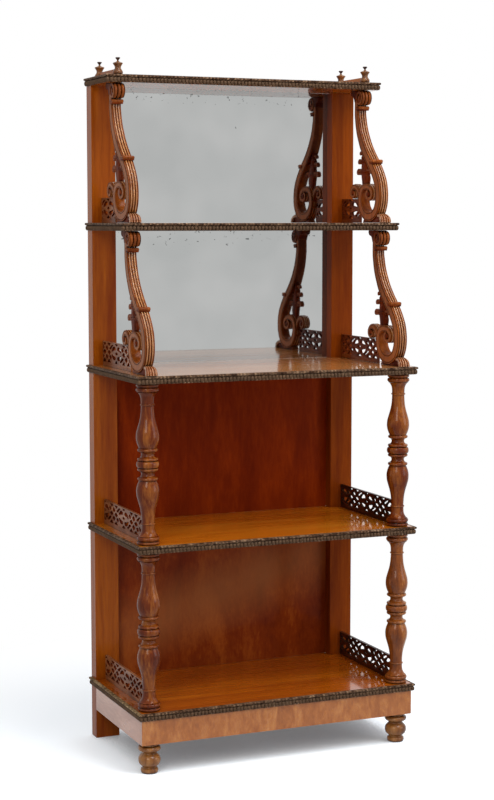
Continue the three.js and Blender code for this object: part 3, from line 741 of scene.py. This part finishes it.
for name in SIDES:
    dress("stile_" + name, UPRIGHT if name == "left" else UPRIGHT_RED)
    dress("apron_" + name, PLINTH_SIDE)
    dress("corner_block_" + name, INNER)
    dress("top_rail_" + name, RAIL)
for shelf in SHELVES:
    # The middle shelf carries a painted reflection, and the base shelf a painted shade.
    dress(f"shelf_{shelf}", {3: SHELF_REFLECTING, 5: SHELF_SHADED}.get(shelf, SHELF_TOP))
dress("mirror_1", MIRROR_HIGH)
dress("mirror_2", MIRROR_LOW)
dress("mirror_back_1", INNER)
dress("mirror_back_2", INNER)
dress("panel_3", PANEL_HIGH)
dress("panel_4", PANEL_LOW)
dress("apron_front", PLINTH_FRONT)
dress("back_rail", INNER)


def centre_of(node):
    """The middle of a node's box, in metres."""
    low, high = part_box(node)
    return (low + high) / 2


# Turned columns: rings about the middle, a vase above and below, and a ringed end.
COLUMN_HALF = (
    [point for point in bead(0, 7, 21.4, 24.7, 10) if point[0] > -0.01]
    + bead(11, 3.4, 19.5, 22.5)
    + flowing([(14.6, 18.5), (17, 15.6), (21, 14.2), (25, 15.6), (27.4, 18.6)])
    + bead(31, 3.4, 19.3, 22.3)
    + flowing([(34.8, 19), (37.7, 20.3), (43, 22.5), (48, 24), (54, 25), (59, 25.2), (69, 24.2),
               (80, 21.2), (91, 18), (102.5, 15.6), (114, 14.4), (125.5, 13.9)])
    + bead(128, 2, 14, 16)
    + flowing([(130.4, 14.1), (136, 14.2), (141, 14.6), (146, 15.8), (150, 18), (153.5, 20.5)])
    + [(154.6, 22.6)]
    + bead(160, 4.4, 21.8, 25)
    + [(165, 21.4)]
    + bead(169.3, 3.6, 21.6, 24.7)
)
COLUMN_PROFILE = [(-height, radius) for height, radius in reversed(COLUMN_HALF[1:])] + COLUMN_HALF
COLUMN_MIDDLE = 173.25
COLUMN_SIDES = 64

FOOT_PROFILE = (
    bead(5, 5, 17.4, 19.2, 8)
    + flowing([(10.8, 16.6), (12.6, 15.5), (15, 17.2), (19, 21.6), (24, 24), (29, 24.5), (34, 23.6),
               (38, 21), (41.5, 17.6), (44, 16), (46.6, 17.6)])
    + bead(54, 5.6, 19, 25, 8)
    + [(60.2, 18.4)]
    + bead(63.2, 2.8, 18.6, 20.6)
)
FOOT_SIDES = 56

# A finial is a cup with a small knob on a thin neck.
FINIAL_CUP = flowing([
    (0.3, 9.8), (2, 10.8), (4.5, 11.2), (7, 10.6), (9.5, 9), (12, 7.4), (14, 6.8), (16, 6.9),
    (18, 7.5), (20.5, 9), (23, 10.7), (24, 10.9), (25, 10.4)], 3)
FINIAL_KNOB = flowing([
    (25.6, 8.6), (27, 5), (28.5, 2.6), (29.8, 1.9), (31.5, 2.4), (33.5, 4.1), (35, 5.2), (36, 5.3),
    (36.8, 4.2)], 3)
FINIAL_SIDES = 28
KNOB_FOOT = 31

column = turned("column", COLUMN_PROFILE, COLUMN_SIDES)
foot = finished(turned("foot", FOOT_PROFILE, FOOT_SIDES), TURNED_PALE)
finial = finished(turned("finial", FINIAL_CUP + FINIAL_KNOB, FINIAL_SIDES), FINIAL)
finial.data.materials.append(KNOB)
reopen(finial)
pick(finial, "faces", lambda face: face.calc_center_median().z > KNOB_FOOT * MM)
lay(finial, 1)
bpy.ops.object.mode_set(mode="OBJECT")

top_shelf_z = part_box("shelf_1")[1].z
for name in SIDES:
    for tier in (3, 4):
        node = f"column_{tier}_{name}"
        # One column is a lit copy of the turned finish, painted more golden.
        finish = TURNED_LIT if node == "column_4_right" else TURNED
        made = finished(moved_copy(column, node + "_turned", centre_of(node)), finish)
        fit(made, node)
    node = "foot_" + name
    middle = centre_of(node)
    stand = (middle.x, middle.y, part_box(node)[0].z)
    fit(moved_copy(foot, node + "_turned", stand), node)
    for row in ("front", "back"):
        node = f"finial_{row}_{name}"
        middle = centre_of(node)
        stand = (middle.x, middle.y, top_shelf_z)
        fit(moved_copy(finial, node + "_turned", stand), node)
remove(column, foot, finial)

# Shelf edges: a plain rounded fillet above a row of small upright gadroons.
EDGE_SECTION = [
    (0, 0), (2.4, 0), (3.3, 0.8), (3.3, 10.9), (4.6, 11.6), (6.2, 12.2), (7, 13.6), (7, 15.2),
    (6.2, 16.6), (4.8, 17), (0, 17),
]
GADROON_HEIGHT = 10.8
GADROON_MIDDLE = 5.5
GADROON_OUT = 3
GADROON_DEPTH = 3.7
# A gadroon's half width is this share of the pitch, and above its shoulder it is that much fuller.
GADROON_HALF = 0.47
GADROON_SHOULDER = 2
SHOULDER_GROWTH = (1.12, 1.06, 1)


def edge_strip(name, length, mitres):
    """A strip along x whose front faces -y, from x = 0; mitres are the ends cut at 45 degrees."""
    section = sawn_plate(name, [(-reach, height) for reach, height in EDGE_SECTION], 2 * length)
    # The flat section stands up with its thickness along x, and the two ends are cut back.
    stand_up(section)
    reopen(section)
    for end, sign, mitred in ((0, -1, mitres[0]), (length, 1, mitres[1])):
        bpy.ops.mesh.select_all(action="SELECT")
        bpy.ops.mesh.bisect(
            plane_co=(end * MM, -MOULDING_REACH * MM, 0), plane_no=(sign, 1 if mitred else 0, 0),
            clear_outer=True, use_fill=True)
    return close_piece(section, 30)


def gadroon_row(name, length):
    """One gadroon, an upright egg that is fuller in its upper half, repeated along x."""
    clear_selection()
    count = round(length / GADROON_PITCH)
    pitch = length / count
    centre = (pitch / 2 * MM, -GADROON_OUT * MM, GADROON_MIDDLE * MM)
    bpy.ops.mesh.primitive_uv_sphere_add(segments=8, ring_count=6, radius=1, location=centre)
    egg = bpy.context.object
    egg.scale = (GADROON_HALF * pitch * MM, GADROON_DEPTH * MM, GADROON_HEIGHT / 2 * MM)
    open_piece(name)
    pick(egg, "verts", lambda v: v.co.z > (GADROON_MIDDLE + GADROON_SHOULDER) * MM)
    bpy.ops.transform.resize(value=SHOULDER_GROWTH, center_override=(centre[0], centre[1], 0))
    close_piece(egg, 60)
    row = egg.modifiers.new("row", "ARRAY")
    row.count = count
    row.use_relative_offset = False
    row.use_constant_offset = True
    row.constant_offset_displace = (pitch * MM, 0, 0)
    take_up(egg)
    bpy.ops.object.modifier_apply(modifier="row")
    return egg


def shelf_edge(name, length, mitres):
    """A strip with its row of gadroons."""
    strip = finished(edge_strip(name, length, mitres), EDGE_FILLET)
    return joined(name, [strip, finished(gadroon_row(name + "_gadroons", length), EDGE_CARVED)])


widest_low, widest_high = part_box("moulding_5_front")
front_edge = shelf_edge("front_edge", (widest_high.x - widest_low.x) / MM, (True, True))
side_edges = {}
for shelf in SHELVES:
    node = f"moulding_{shelf}_front"
    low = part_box(node)[0]
    start = (low.x, low.y + MOULDING_REACH * MM, low.z)
    fit(moved_copy(front_edge, node + "_carved", start), node)
    for name, side in SIDES.items():
        node = f"moulding_{shelf}_{name}"
        low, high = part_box(node)
        length = round((high.y - low.y) / MM, 2)
        key = (length, side)
        if key not in side_edges:
            mitres = (False, True) if side < 0 else (True, False)
            strip = shelf_edge(f"side_edge_{name}_{length:.0f}", length, mitres)
            strip.rotation_euler = (0, 0, side * math.pi / 2)
            side_edges[key] = settle(strip)
        # A left strip runs forward from the back, and a right one backward from the front.
        start_y = high.y if side < 0 else low.y
        inner_x = low.x + MOULDING_REACH * MM if side < 0 else high.x - MOULDING_REACH * MM
        made = moved_copy(side_edges[key], node + "_carved", (inner_x, start_y, low.z))
        if node == "moulding_5_left":
            made.data.materials[0] = EDGE_RUBBED
        fit(made, node)
remove(front_edge, *side_edges.values())

# Fretwork galleries: s runs forward from the stile, v up from the shelf.
FRET_MIDDLE = 32.6
FRET_END_BAR = 3
FRET_PERIODS = {1: 0.7, 2: 1.45, 3: 2.045, 4: 2.045}
# One period of the pattern, (along, up) from the middle of its rose in millimetres for a period of
# 140. The rose has an eye and four crescents, and two of its four outer tears are drawn out, as a
# pinwheel's.
ROSE_PERIOD = 140
ROSE_EYE = [(-8.5, 0), (0, -3.6), (8.5, 0), (0, 3.6)]
CRESCENT = [(5, 8.5), (8, 14.2), (18, 15.4), (28, 12), (35, 5), (30, 2.8), (22, 5.4), (13, 6.4)]
LONG_TEAR = [(23, 17.2), (31, 19), (43, 14), (52.5, 9.2), (48, 7.6), (39, 7.2), (31.5, 13.2)]
SHORT_TEAR = [(34.5, 10), (42, 16), (53, 9.6), (43.5, 5.4)]
ROSE_TOP = [(-12, 21.2), (12, 21.2), (0, 15.4)]
ROSE_FOOT = [(-14, -22.6), (14, -22.6), (0, -15)]
# The crossing bars between two roses leave diamonds, and triangles along the rails.
DIAMOND = [(40.7, 0), (53.9, -6.2), (67.1, 0), (53.9, 6.2)]
TOP_TRIANGLE = [(40.5, 21.2), (67, 21.2), (54, 13.2)]
FOOT_TRIANGLE = [(40, -22.6), (67.5, -22.6), (54, -13.2)]
CROSSING = [(58.5, 9.6), (70, 2.6), (81.5, 9.6), (70, 16.6)]
# A hole that an end bar leaves narrower than this isn't sawn at all.
NARROWEST_HOLE = 4
# Where a gallery meets a column, its end follows the turning at these heights, this far off it.
COLUMN_END_HEIGHTS = (
    0.3, 7, 8.2, 9, 13, 17, 18.5, 20, 23, 27, 33, 42, 43.5, 45, 46.5, 48, 52, 56)
COLUMN_GAP = 0.4
STILE_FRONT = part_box("stile_left")[0].y
COLUMN_Y = centre_of("column_3_left").y


def blunted(corners, share=0.1):
    """Each corner gives way to two points on its sides."""
    points = []
    for k, (a, b) in enumerate(corners):
        for c, d in (corners[k - 1], corners[(k + 1) % len(corners)]):
            points.append((a + share * (c - a), b + share * (d - b)))
    return points


def fret_holes(end, periods):
    """The holes of a gallery of that length, which shows that many periods about its middle."""
    middle = (GLUE_LINE + end) / 2
    period = (end - GLUE_LINE) / periods
    holes = []
    for k in range(-2, 3):
        centre = middle + k * period

        def hole(shape, along_sign=1, up_sign=1):
            return [(centre + along_sign * along * period / ROSE_PERIOD, FRET_MIDDLE + up_sign * up)
                    for along, up in shape]

        holes += [flowing_ring(hole(ROSE_EYE)), blunted(hole(ROSE_TOP)), blunted(hole(ROSE_FOOT)),
                  blunted(hole(CROSSING)), blunted(hole(CROSSING, 1, -1))]
        for along_sign in (-1, 1):
            for shape in (DIAMOND, TOP_TRIANGLE, FOOT_TRIANGLE):
                holes.append(blunted(hole(shape, along_sign)))
            for up_sign in (-1, 1):
                holes.append(flowing_ring(hole(CRESCENT, along_sign, up_sign)))
                tear = LONG_TEAR if along_sign * up_sign < 0 else SHORT_TEAR
                holes.append(flowing_ring(hole(tear, along_sign, up_sign), 2))
    return holes


def cut_off(hole, end_at):
    """The part of a hole between the two end bars, or None where too little is left."""
    low = GLUE_LINE + FRET_END_BAR
    high = min(end_at(v) for s, v in hole) - FRET_END_BAR
    for limit, sign in ((low, 1), (high, -1)):
        kept = []
        for k, (s, v) in enumerate(hole):
            last_s, last_v = hole[k - 1]
            inside, last_inside = (s - limit) * sign > 0, (last_s - limit) * sign > 0
            if inside != last_inside:
                share = (limit - last_s) / (s - last_s)
                kept.append((limit, last_v + share * (v - last_v)))
            if inside:
                kept.append((s, v))
        hole = kept
        if len(hole) < 3:
            return None
    along = [s for s, v in hole]
    return hole if max(along) - min(along) > NARROWEST_HOLE else None


def column_radius(height):
    """The column's radius at a height above the shelf."""
    at = COLUMN_MIDDLE - height
    for (h0, r0), (h1, r1) in zip(COLUMN_HALF, COLUMN_HALF[1:]):
        if h0 <= at <= h1:
            return r0 + (r1 - r0) * (at - h0) / max(h1 - h0, 1e-6)
    return COLUMN_HALF[-1][1]


def gallery_end(tier):
    """How far a gallery reaches at a height, as a function, and the heights its end is drawn at."""
    if tier < 3:
        length = (STILE_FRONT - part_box(f"gallery_{tier}_left")[0].y) / MM
        return lambda height: length, (GLUE_LINE, GALLERY_HEIGHT)
    reach = (STILE_FRONT - COLUMN_Y) / MM - COLUMN_GAP
    return lambda height: reach - column_radius(height), COLUMN_END_HEIGHTS


def fret_plate(tier):
    """One gallery, stood up at the origin, its hole walls darker than its faces: painted shade."""
    end_at, heights = gallery_end(tier)
    end = [(end_at(height), height) for height in heights]
    outline = [(GLUE_LINE, GLUE_LINE), *end, (GLUE_LINE, GALLERY_HEIGHT)]
    holes = [cut_off(hole, end_at) for hole in fret_holes(end[-1][0], FRET_PERIODS[tier])]
    plate = sawn_plate(
        f"gallery_{tier}", [(-s, v) for s, v in outline], GALLERY_THICK,
        holes=[[(-s, v) for s, v in hole] for hole in holes if hole])

    def in_hole(face):
        """Whether a face is a wall of a hole, and not of the plate's outline."""
        middle = face.calc_center_median() / MM
        return (abs(face.normal.z) < 0.5 and 2 < middle.y < GALLERY_HEIGHT - 1
                and 2 < -middle.x < end_at(middle.y) - 2)

    finished(plate, FRET_LIT_AND_SHADED["left"]).data.materials.append(FRET_CUT_SHADED["left"])
    reopen(plate)
    pick(plate, "faces", in_hole)
    lay(plate, 1)
    bpy.ops.object.mode_set(mode="OBJECT")
    return stand_up(plate)


plates = {}
for tier in TIERS:
    # The two lowest galleries are alike.
    plates[tier] = plates[3] if tier == 4 else fret_plate(tier)
    shelf_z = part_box(f"shelf_{tier + 1}")[1].z
    for name in SIDES:
        node = f"gallery_{tier}_{name}"
        stand = (centre_of(node).x, STILE_FRONT, shelf_z)
        made = moved_copy(plates[tier], node + "_fret", stand)
        # Left galleries are painted lighter and right ones darker, as light and shade fall; the two
        # upper right ones take a painted half shade on their faces.
        if tier < 3 and name == "right":
            made.data.materials[0] = FRET_LIT_AND_SHADED["high right"]
        else:
            made.data.materials[0] = FRET_LIT_AND_SHADED[name]
            made.data.materials[1] = FRET_CUT_SHADED[name]
        fit(made, node)
remove(plates[1], plates[2], plates[3])

# Scroll brackets: u runs back from the nose of the shelf below, v up from its top face.
# The strap falls from the neck, swings forward to the nose and winds up into the volute.
STRAP_LINE = [
    (135.5, 288), (135.5, 262), (135.2, 250), (132.9, 238), (128.8, 222), (122.5, 206),
    (114.8, 192), (107, 179), (97.5, 167), (83.5, 152), (65.5, 135), (51.3, 119.5), (39.5, 104),
    (31.3, 90), (26.4, 73), (25.6, 56), (29.5, 39), (39.5, 24.5), (55, 16), (72, 13.8), (90, 17.5),
    (104, 27.5), (112.8, 41), (115, 56), (111, 70), (101.5, 79.5), (89, 82.5), (75, 82), (62.5, 77),
    (55.5, 67.5), (58.5, 58.5), (68, 55), (78, 57.5), (82.5, 65), (79.5, 71.5), (73, 73),
]
STRAP_THIN = [
    (0, 0.72), (0.07, 0.74), (0.14, 0.84), (0.22, 0.94), (0.34, 0.92), (0.42, 0.98), (0.5, 1),
    (0.58, 0.9), (0.66, 0.88), (0.74, 0.78), (0.8, 0.64), (0.85, 0.5), (0.9, 0.4), (0.95, 0.32),
    (1, 0.24),
]
STRAP_NARROW = [(0, 1), (0.7, 1), (0.85, 1.06), (1, 1.08)]
VOLUTE_EYE_AT = (72 * MM, 65.5 * MM, 0)
VOLUTE_EYE = [(-13, 3), (-12.6, 4.6), (-11.6, 5.8), (-10.6, 6.4), (10.6, 6.4), (11.6, 5.8),
              (12.6, 4.6), (13, 3)]
# The back scroll springs from the volute and curls the other way.
BACK_LINE = [
    (117.5, 36), (120.5, 56), (128, 71), (138, 80.5), (150, 83.8), (160.5, 79), (165.5, 70),
    (161.5, 62.5), (153, 61), (147, 66), (149, 72.5),
]
BACK_THIN = [(0, 0.9), (0.4, 1), (0.6, 0.85), (0.75, 0.66), (0.9, 0.5), (1, 0.4)]
BACK_EYE_AT = (154 * MM, 70.5 * MM, 0)
BACK_EYE = [(-10.4, 2.2), (-10, 3.6), (-8.6, 4.8), (8.6, 4.8), (10, 3.6), (10.4, 2.2)]
# The neck curls forward into a roll of three lobes, with a ringed eye at each end.
ROLL_AT = (118.5 * MM, 287.5 * MM, 0)
ROLL_END = [(-13.5, 3.4), (-12.9, 4.8), (-12, 5.2), (-12, 9.6), (-12.7, 10.6), (-13.5, 11.6),
            (-13.5, 14), (-12.8, 15.6)]
ROLL_LOBES = bead(-8.3, 3.9, 13, 17.1, 8) + bead(0, 4, 13, 17.2, 8) + bead(8.3, 3.9, 13, 17.1, 8)
ROLL = ROLL_END + ROLL_LOBES + [(-height, radius) for height, radius in reversed(ROLL_END)]
# The cap carries the shelf above.
CAP = [(120, 286), (144, 278.5), (145.5, 283), (147.5, 287), (150, 291), (153.5, 292),
       (158.5, 293.5), (162.5, 297), (164, 301), (163, 304.6), (118, 304.6)]
# The leaf behind the strap: four husks up one stem. Each has the place of its axis, the heights of
# its foot and lip, the radius of its stem and lip, and its reach to either side.
HUSKS = {
    "husk_low": (103, 76, 119, 14.5, 27, 9),
    "husk_middle": (108.5, 112, 142, 12, 20, 8.6),
    "husk_high": (113, 137, 161, 8, 11, 7.6),
    "husk_tip": (112, 156, 176, 4.5, 5, 4.6),
}
HUSK_SIDES = 20
# The hollows between a husk's ribs lie at this share of its radius.
HUSK_HOLLOW = 0.88
LEAF_STEM = [
    (94, 78), (112, 78), (117, 96), (121, 114), (120, 128), (119, 146), (117, 160), (113, 173),
    (108, 160), (101, 143), (96, 128), (92, 116), (91, 96)]
# A leaf tip curls out, droops and ends in a fat roll: (out, up) from the stem, in millimetres. Each
# curl has its place, its size, its width across, and the side that it curls to, 1 for backward.
CURL = [(-4, -9), (5, -5), (11, 0.5), (16, 0.5), (17, -4), (21, -6.5), (26, -4), (27.5, 1),
        (24.5, 6), (17, 9), (8, 7.5), (-4, 4)]
LEAF_CURLS = [
    (118, 117, 0.95, 9, 1), (117, 140.5, 0.8, 8, 1), (115, 160, 0.62, 7, 1),
    (94, 118, 0.8, 9, -1), (102, 140.5, 0.45, 8, -1)]
# Two collars bind the strap, each given by its front, its back and its height. The round band is
# half this wide, and the fillet below it stands back from it on every side.
COLLARS = {"collar_high": (114.4, 134, 264.1), "collar_low": (44.5, 68, 139.3)}
COLLAR_HALF, COLLAR_BELOW, COLLAR_ABOVE, COLLAR_ROUND = 14, 3, 5, 3.8
FILLET_HALF, FILLET_BACK, FILLET_BELOW, FILLET_ROUND = 12.8, 1.6, 5.2, 1.4
# The foot under the strap: a core with a quarter-round shell of four reeds in front.
SHELL_LINE = [(6.2, 0.4), (7.4, 6.5), (12, 12.5), (20, 16), (32, 16.6)]
FOOT_CORE = [(9, 0.3), (11, 6), (15, 10), (22, 12), (40, 13), (60, 5), (85, 4.5), (98, 9),
             (104, 0.3)]

# The reeds' crests carry a painted highlight, and the quirks and side grooves a painted shade.
REEDED = (CARVED, CARVED_CREST_HIGHLIT, CARVED_QUIRK_SHADED)
strap = carved_bar(
    "strap", STRAP_LINE, thick=23.2, width=22, reeds=3, reed_rise=1.8, border=2.4, groove=2.2,
    sunk=1.2, stations=150, thin=STRAP_THIN, narrow=STRAP_NARROW, finishes=REEDED)
back_scroll = carved_bar(
    "back_scroll", BACK_LINE, thick=12.5, width=18, reeds=3, reed_rise=1.2, border=1.6, groove=1.6,
    sunk=1, stations=70, thin=BACK_THIN, finishes=REEDED, front_side=1)
volute_eye = turned("volute_eye", VOLUTE_EYE, 24, VOLUTE_EYE_AT)
back_eye = turned("back_eye", BACK_EYE, 20, BACK_EYE_AT)
cap = sawn_plate("cap", CAP, 24, 1.2)
roll = finished(turned("rolled_top", ROLL, 48, ROLL_AT), CARVED)
flat_parts = [strap, back_scroll, volute_eye, back_eye, roll, cap]
for part in flat_parts:
    stand_up(part)


def collar(name, front_u, back_u, v):
    """A moulded band across the front of the strap: a round over a thinner fillet, which is
    in painted shade.
    """
    round_band = box_piece(
        name, (-COLLAR_HALF, front_u, v - COLLAR_BELOW), (COLLAR_HALF, back_u, v + COLLAR_ABOVE),
        COLLAR_ROUND, 5)
    fillet = box_piece(
        name + "_fillet", (-FILLET_HALF, front_u + FILLET_BACK, v - FILLET_BELOW),
        (FILLET_HALF, back_u - FILLET_BACK, v), FILLET_ROUND, 3)
    return joined(name, [finished(round_band, CARVED), finished(fillet, CARVED_SHADED)])


def husk(name, u, foot_v, lip_v, stem, lip, flat):
    """One bellflower of the leaf: a fluted cup with a turned-out lip, flattened sideways."""
    rise = lip_v - foot_v
    profile = flowing([
        (0, stem), (0.3 * rise, stem * 1.12), (0.6 * rise, stem * 1.3), (0.82 * rise, 0.62 * lip),
        (0.93 * rise, 0.86 * lip), (0.985 * rise, lip)], 3) + [
            (rise, 0.97 * lip), (0.985 * rise, 0.8 * lip), (0.95 * rise, 0.5 * lip)]
    cup = turned(name, profile, HUSK_SIDES, (0, u * MM, foot_v * MM), 50)
    reopen(cup)
    # Every second row of verts is drawn in, which leaves ribs between the hollows.
    step = math.tau / HUSK_SIDES
    pick(cup, "verts", lambda v: round(math.atan2(v.co.x, v.co.y - u * MM) / step) % 2 == 1)
    hollowed = (HUSK_HOLLOW, HUSK_HOLLOW, 1)
    bpy.ops.transform.resize(value=hollowed, center_override=(0, u * MM, 0))
    bpy.ops.mesh.select_all(action="SELECT")
    bpy.ops.transform.resize(value=(flat / lip, 1, 1), center_override=(0, u * MM, 0))
    return close_piece(cup, 50)


leaf_parts = [husk(name, *sizes) for name, sizes in HUSKS.items()]
leaf_parts.append(stand_up(sawn_plate("leaf_stem", flowing_ring(LEAF_STEM), 11, 3)))
for number, (u, v, size, wide, side) in enumerate(LEAF_CURLS):
    ring = flowing_ring([(u + side * size * out, v + size * up) for out, up in CURL])
    leaf_parts.append(stand_up(sawn_plate(f"leaf_curl_{number}", ring, wide)))

# The reeded foot is pale all over, a painted highlight, its quirks in the body finish.
shell = stand_up(carved_bar(
    "foot_shell", SHELL_LINE, thick=7, width=25, reeds=4, reed_rise=1.6, border=0.8, groove=0.6,
    sunk=0.2, stations=24, thin=[(0, 1), (1, 0.9)],
    narrow=[(0, 1.04), (0.3, 1), (0.6, 0.8), (1, 0.7)],
    finishes=(CARVED_HIGHLIT, CARVED_HIGHLIT, CARVED), front_side=1))
core = stand_up(sawn_plate("foot_core", FOOT_CORE, 17, 0.6))
# The leaf, the eyes, the cap and the foot core lie behind or under other parts: painted shade.
for part in (*leaf_parts, volute_eye, back_eye, cap, core):
    finished(part, CARVED_SHADED)
collars = [collar(name, *sizes) for name, sizes in COLLARS.items()]
bracket = joined("bracket", [*flat_parts, *leaf_parts, *collars, shell, core])
for tier in (1, 2):
    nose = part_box(f"moulding_{tier + 1}_front")[0].y
    shelf_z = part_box(f"shelf_{tier + 1}")[1].z
    for name in SIDES:
        node = f"bracket_{tier}_{name}"
        stand = (centre_of(node).x, nose, shelf_z)
        fit(moved_copy(bracket, node + "_carved", stand), node)
remove(bracket)


# The room: a pale floor, white all round, and soft lamps.
def seen_directly(tree):
    """1 for rays from the camera, a mirror or a gloss, which see the plain white studio."""
    path = add(tree, "ShaderNodeLightPath")
    seen = add(tree, "ShaderNodeMath", {"operation": "ADD"}, {
        0: path.outputs["Is Camera Ray"], 1: path.outputs["Is Glossy Ray"]})
    seen = add(tree, "ShaderNodeMath", {"operation": "ADD", "use_clamp": True}, {
        0: seen.outputs[0], 1: path.outputs["Is Transmission Ray"]})
    return seen.outputs[0]


world = bpy.data.worlds.new("studio")
bpy.context.scene.world = world
world.use_nodes = True
sky = world.node_tree
sky.nodes.clear()
white = add(sky, "ShaderNodeBackground", {"Color": (1, 1, 1, 1), "Strength": 1.0})
# The light of the room itself comes mostly from above.
aim = add(sky, "ShaderNodeTexCoord").outputs["Generated"]
height = add(sky, "ShaderNodeSeparateXYZ", links={0: aim}).outputs["Z"]
level = add(sky, "ShaderNodeMapRange", {
    "From Min": 0.0, "From Max": 0.9, "To Min": 0.3, "To Max": 0.7}, {"Value": height})
soft = add(sky, "ShaderNodeBackground", {"Color": tint("#f6f6f8")}, {"Strength": level.outputs[0]})
studio = add(sky, "ShaderNodeMixShader", links={
    0: seen_directly(sky), 1: soft.outputs[0], 2: white.outputs[0]})
add(sky, "ShaderNodeOutputWorld", links={"Surface": studio.outputs[0]})

# The floor lies half a millimetre below the feet, so that they don't flicker in one plane.
FLOOR_SIZE = 14
FLOOR_DROP = 0.5 * MM
SHADOW_REACH = 300
PAPER_SHADE = (0.9, 0.955, 1.0, 1)
PAPER_LIFT = 0.32
WHITE_FROM, WHITE_AT = 0.5, 1.1

clear_selection()
bpy.ops.mesh.primitive_plane_add(size=FLOOR_SIZE, location=(0, 0, -FLOOR_DROP))
floor = settle(bpy.context.object)
floor.name = "floor"
ground = bpy.data.materials.new("pale studio floor")
ground.use_nodes = True
tree = ground.node_tree
tree.nodes.clear()
matt = add(tree, "ShaderNodeBsdfDiffuse", {"Color": tint("#c2c2c4")})
# Seen directly, the floor is white paper that keeps the soft shadow near the object, deepened by a
# painted shadow from occlusion, and plain white far off.
shadow = hollow_shade_and_dirt(tree, SHADOW_REACH, [(0.2, 0.42), (0.5, 1.0)])
shaded = add(tree, "ShaderNodeMix", {**MULTIPLIED, 7: PAPER_SHADE}, {6: shadow}).outputs[2]
matt_paper = add(tree, "ShaderNodeBsdfDiffuse", links={"Color": shaded})
lift = add(tree, "ShaderNodeEmission", {"Strength": PAPER_LIFT}, {"Color": shaded})
near_paper = add(tree, "ShaderNodeAddShader", links={0: matt_paper.outputs[0], 1: lift.outputs[0]})
far_paper = add(tree, "ShaderNodeEmission", {"Color": (1, 1, 1, 1), "Strength": 1.0})
from_middle = add(tree, "ShaderNodeVectorMath", {"operation": "LENGTH"}, {
    0: add(tree, "ShaderNodeTexCoord").outputs["Object"]})
far = add(tree, "ShaderNodeMapRange", {
    "From Min": WHITE_FROM, "From Max": WHITE_AT, "To Min": 0.0, "To Max": 1.0},
    {"Value": from_middle.outputs["Value"]})
paper = add(tree, "ShaderNodeMixShader", links={
    0: far.outputs[0], 1: near_paper.outputs[0], 2: far_paper.outputs[0]})
laid = add(tree, "ShaderNodeMixShader", links={
    0: seen_directly(tree), 1: matt.outputs[0], 2: paper.outputs[0]})
add(tree, "ShaderNodeOutputMaterial", links={"Surface": laid.outputs[0]})
floor.data.materials.append(ground)


def lamp(name, place, target, wide, high, power, colour):
    """A soft box at place that faces target. Lengths are in metres and power in watts."""
    light = bpy.data.lights.new(name, "AREA")
    light.shape = "RECTANGLE"
    light.size = wide
    light.size_y = high
    light.energy = power
    light.color = tint(colour)[:3]
    holder = bpy.data.objects.new(name, light)
    bpy.context.scene.collection.objects.link(holder)
    holder.location = place
    aim = [b - a for a, b in zip(place, target)]
    flat = math.hypot(aim[0], aim[1])
    holder.rotation_euler = (math.atan2(flat, -aim[2]), 0, math.atan2(-aim[0], aim[1]))


lamp("overhead", (0.8, -1.7, 4.0), (0, 0, 0.8), 1.5, 2.6, 104, "#ffffff")
lamp("key", (-2.5, -3.1, 2.8), (0, 0, 0.8), 1.4, 1.8, 64, "#fff8ee")
lamp("fill", (3.2, -2.6, 1.5), (0, 0, 0.7), 2.0, 2.0, 42, "#f8f9ff")

# The camera of the photograph: its lens in millimetres, its place, and its turn in degrees.
LENS = 79.51
FILM_WIDTH = 36
CAMERA_AT = (-1.57289, -3.6649, 1.19037)
CAMERA_TURN = (84.22, 0, -23.1)

eye = bpy.data.cameras.new("view of the photograph")
eye.lens = LENS
eye.sensor_width = FILM_WIDTH
eye.dof.use_dof = False
camera = bpy.data.objects.new("camera", eye)
bpy.context.scene.collection.objects.link(camera)
camera.location = CAMERA_AT
camera.rotation_euler = [math.radians(turn) for turn in CAMERA_TURN]
bpy.context.scene.camera = camera
bpy.context.scene.view_settings.view_transform = "Standard"

bpy.context.view_layer.update()
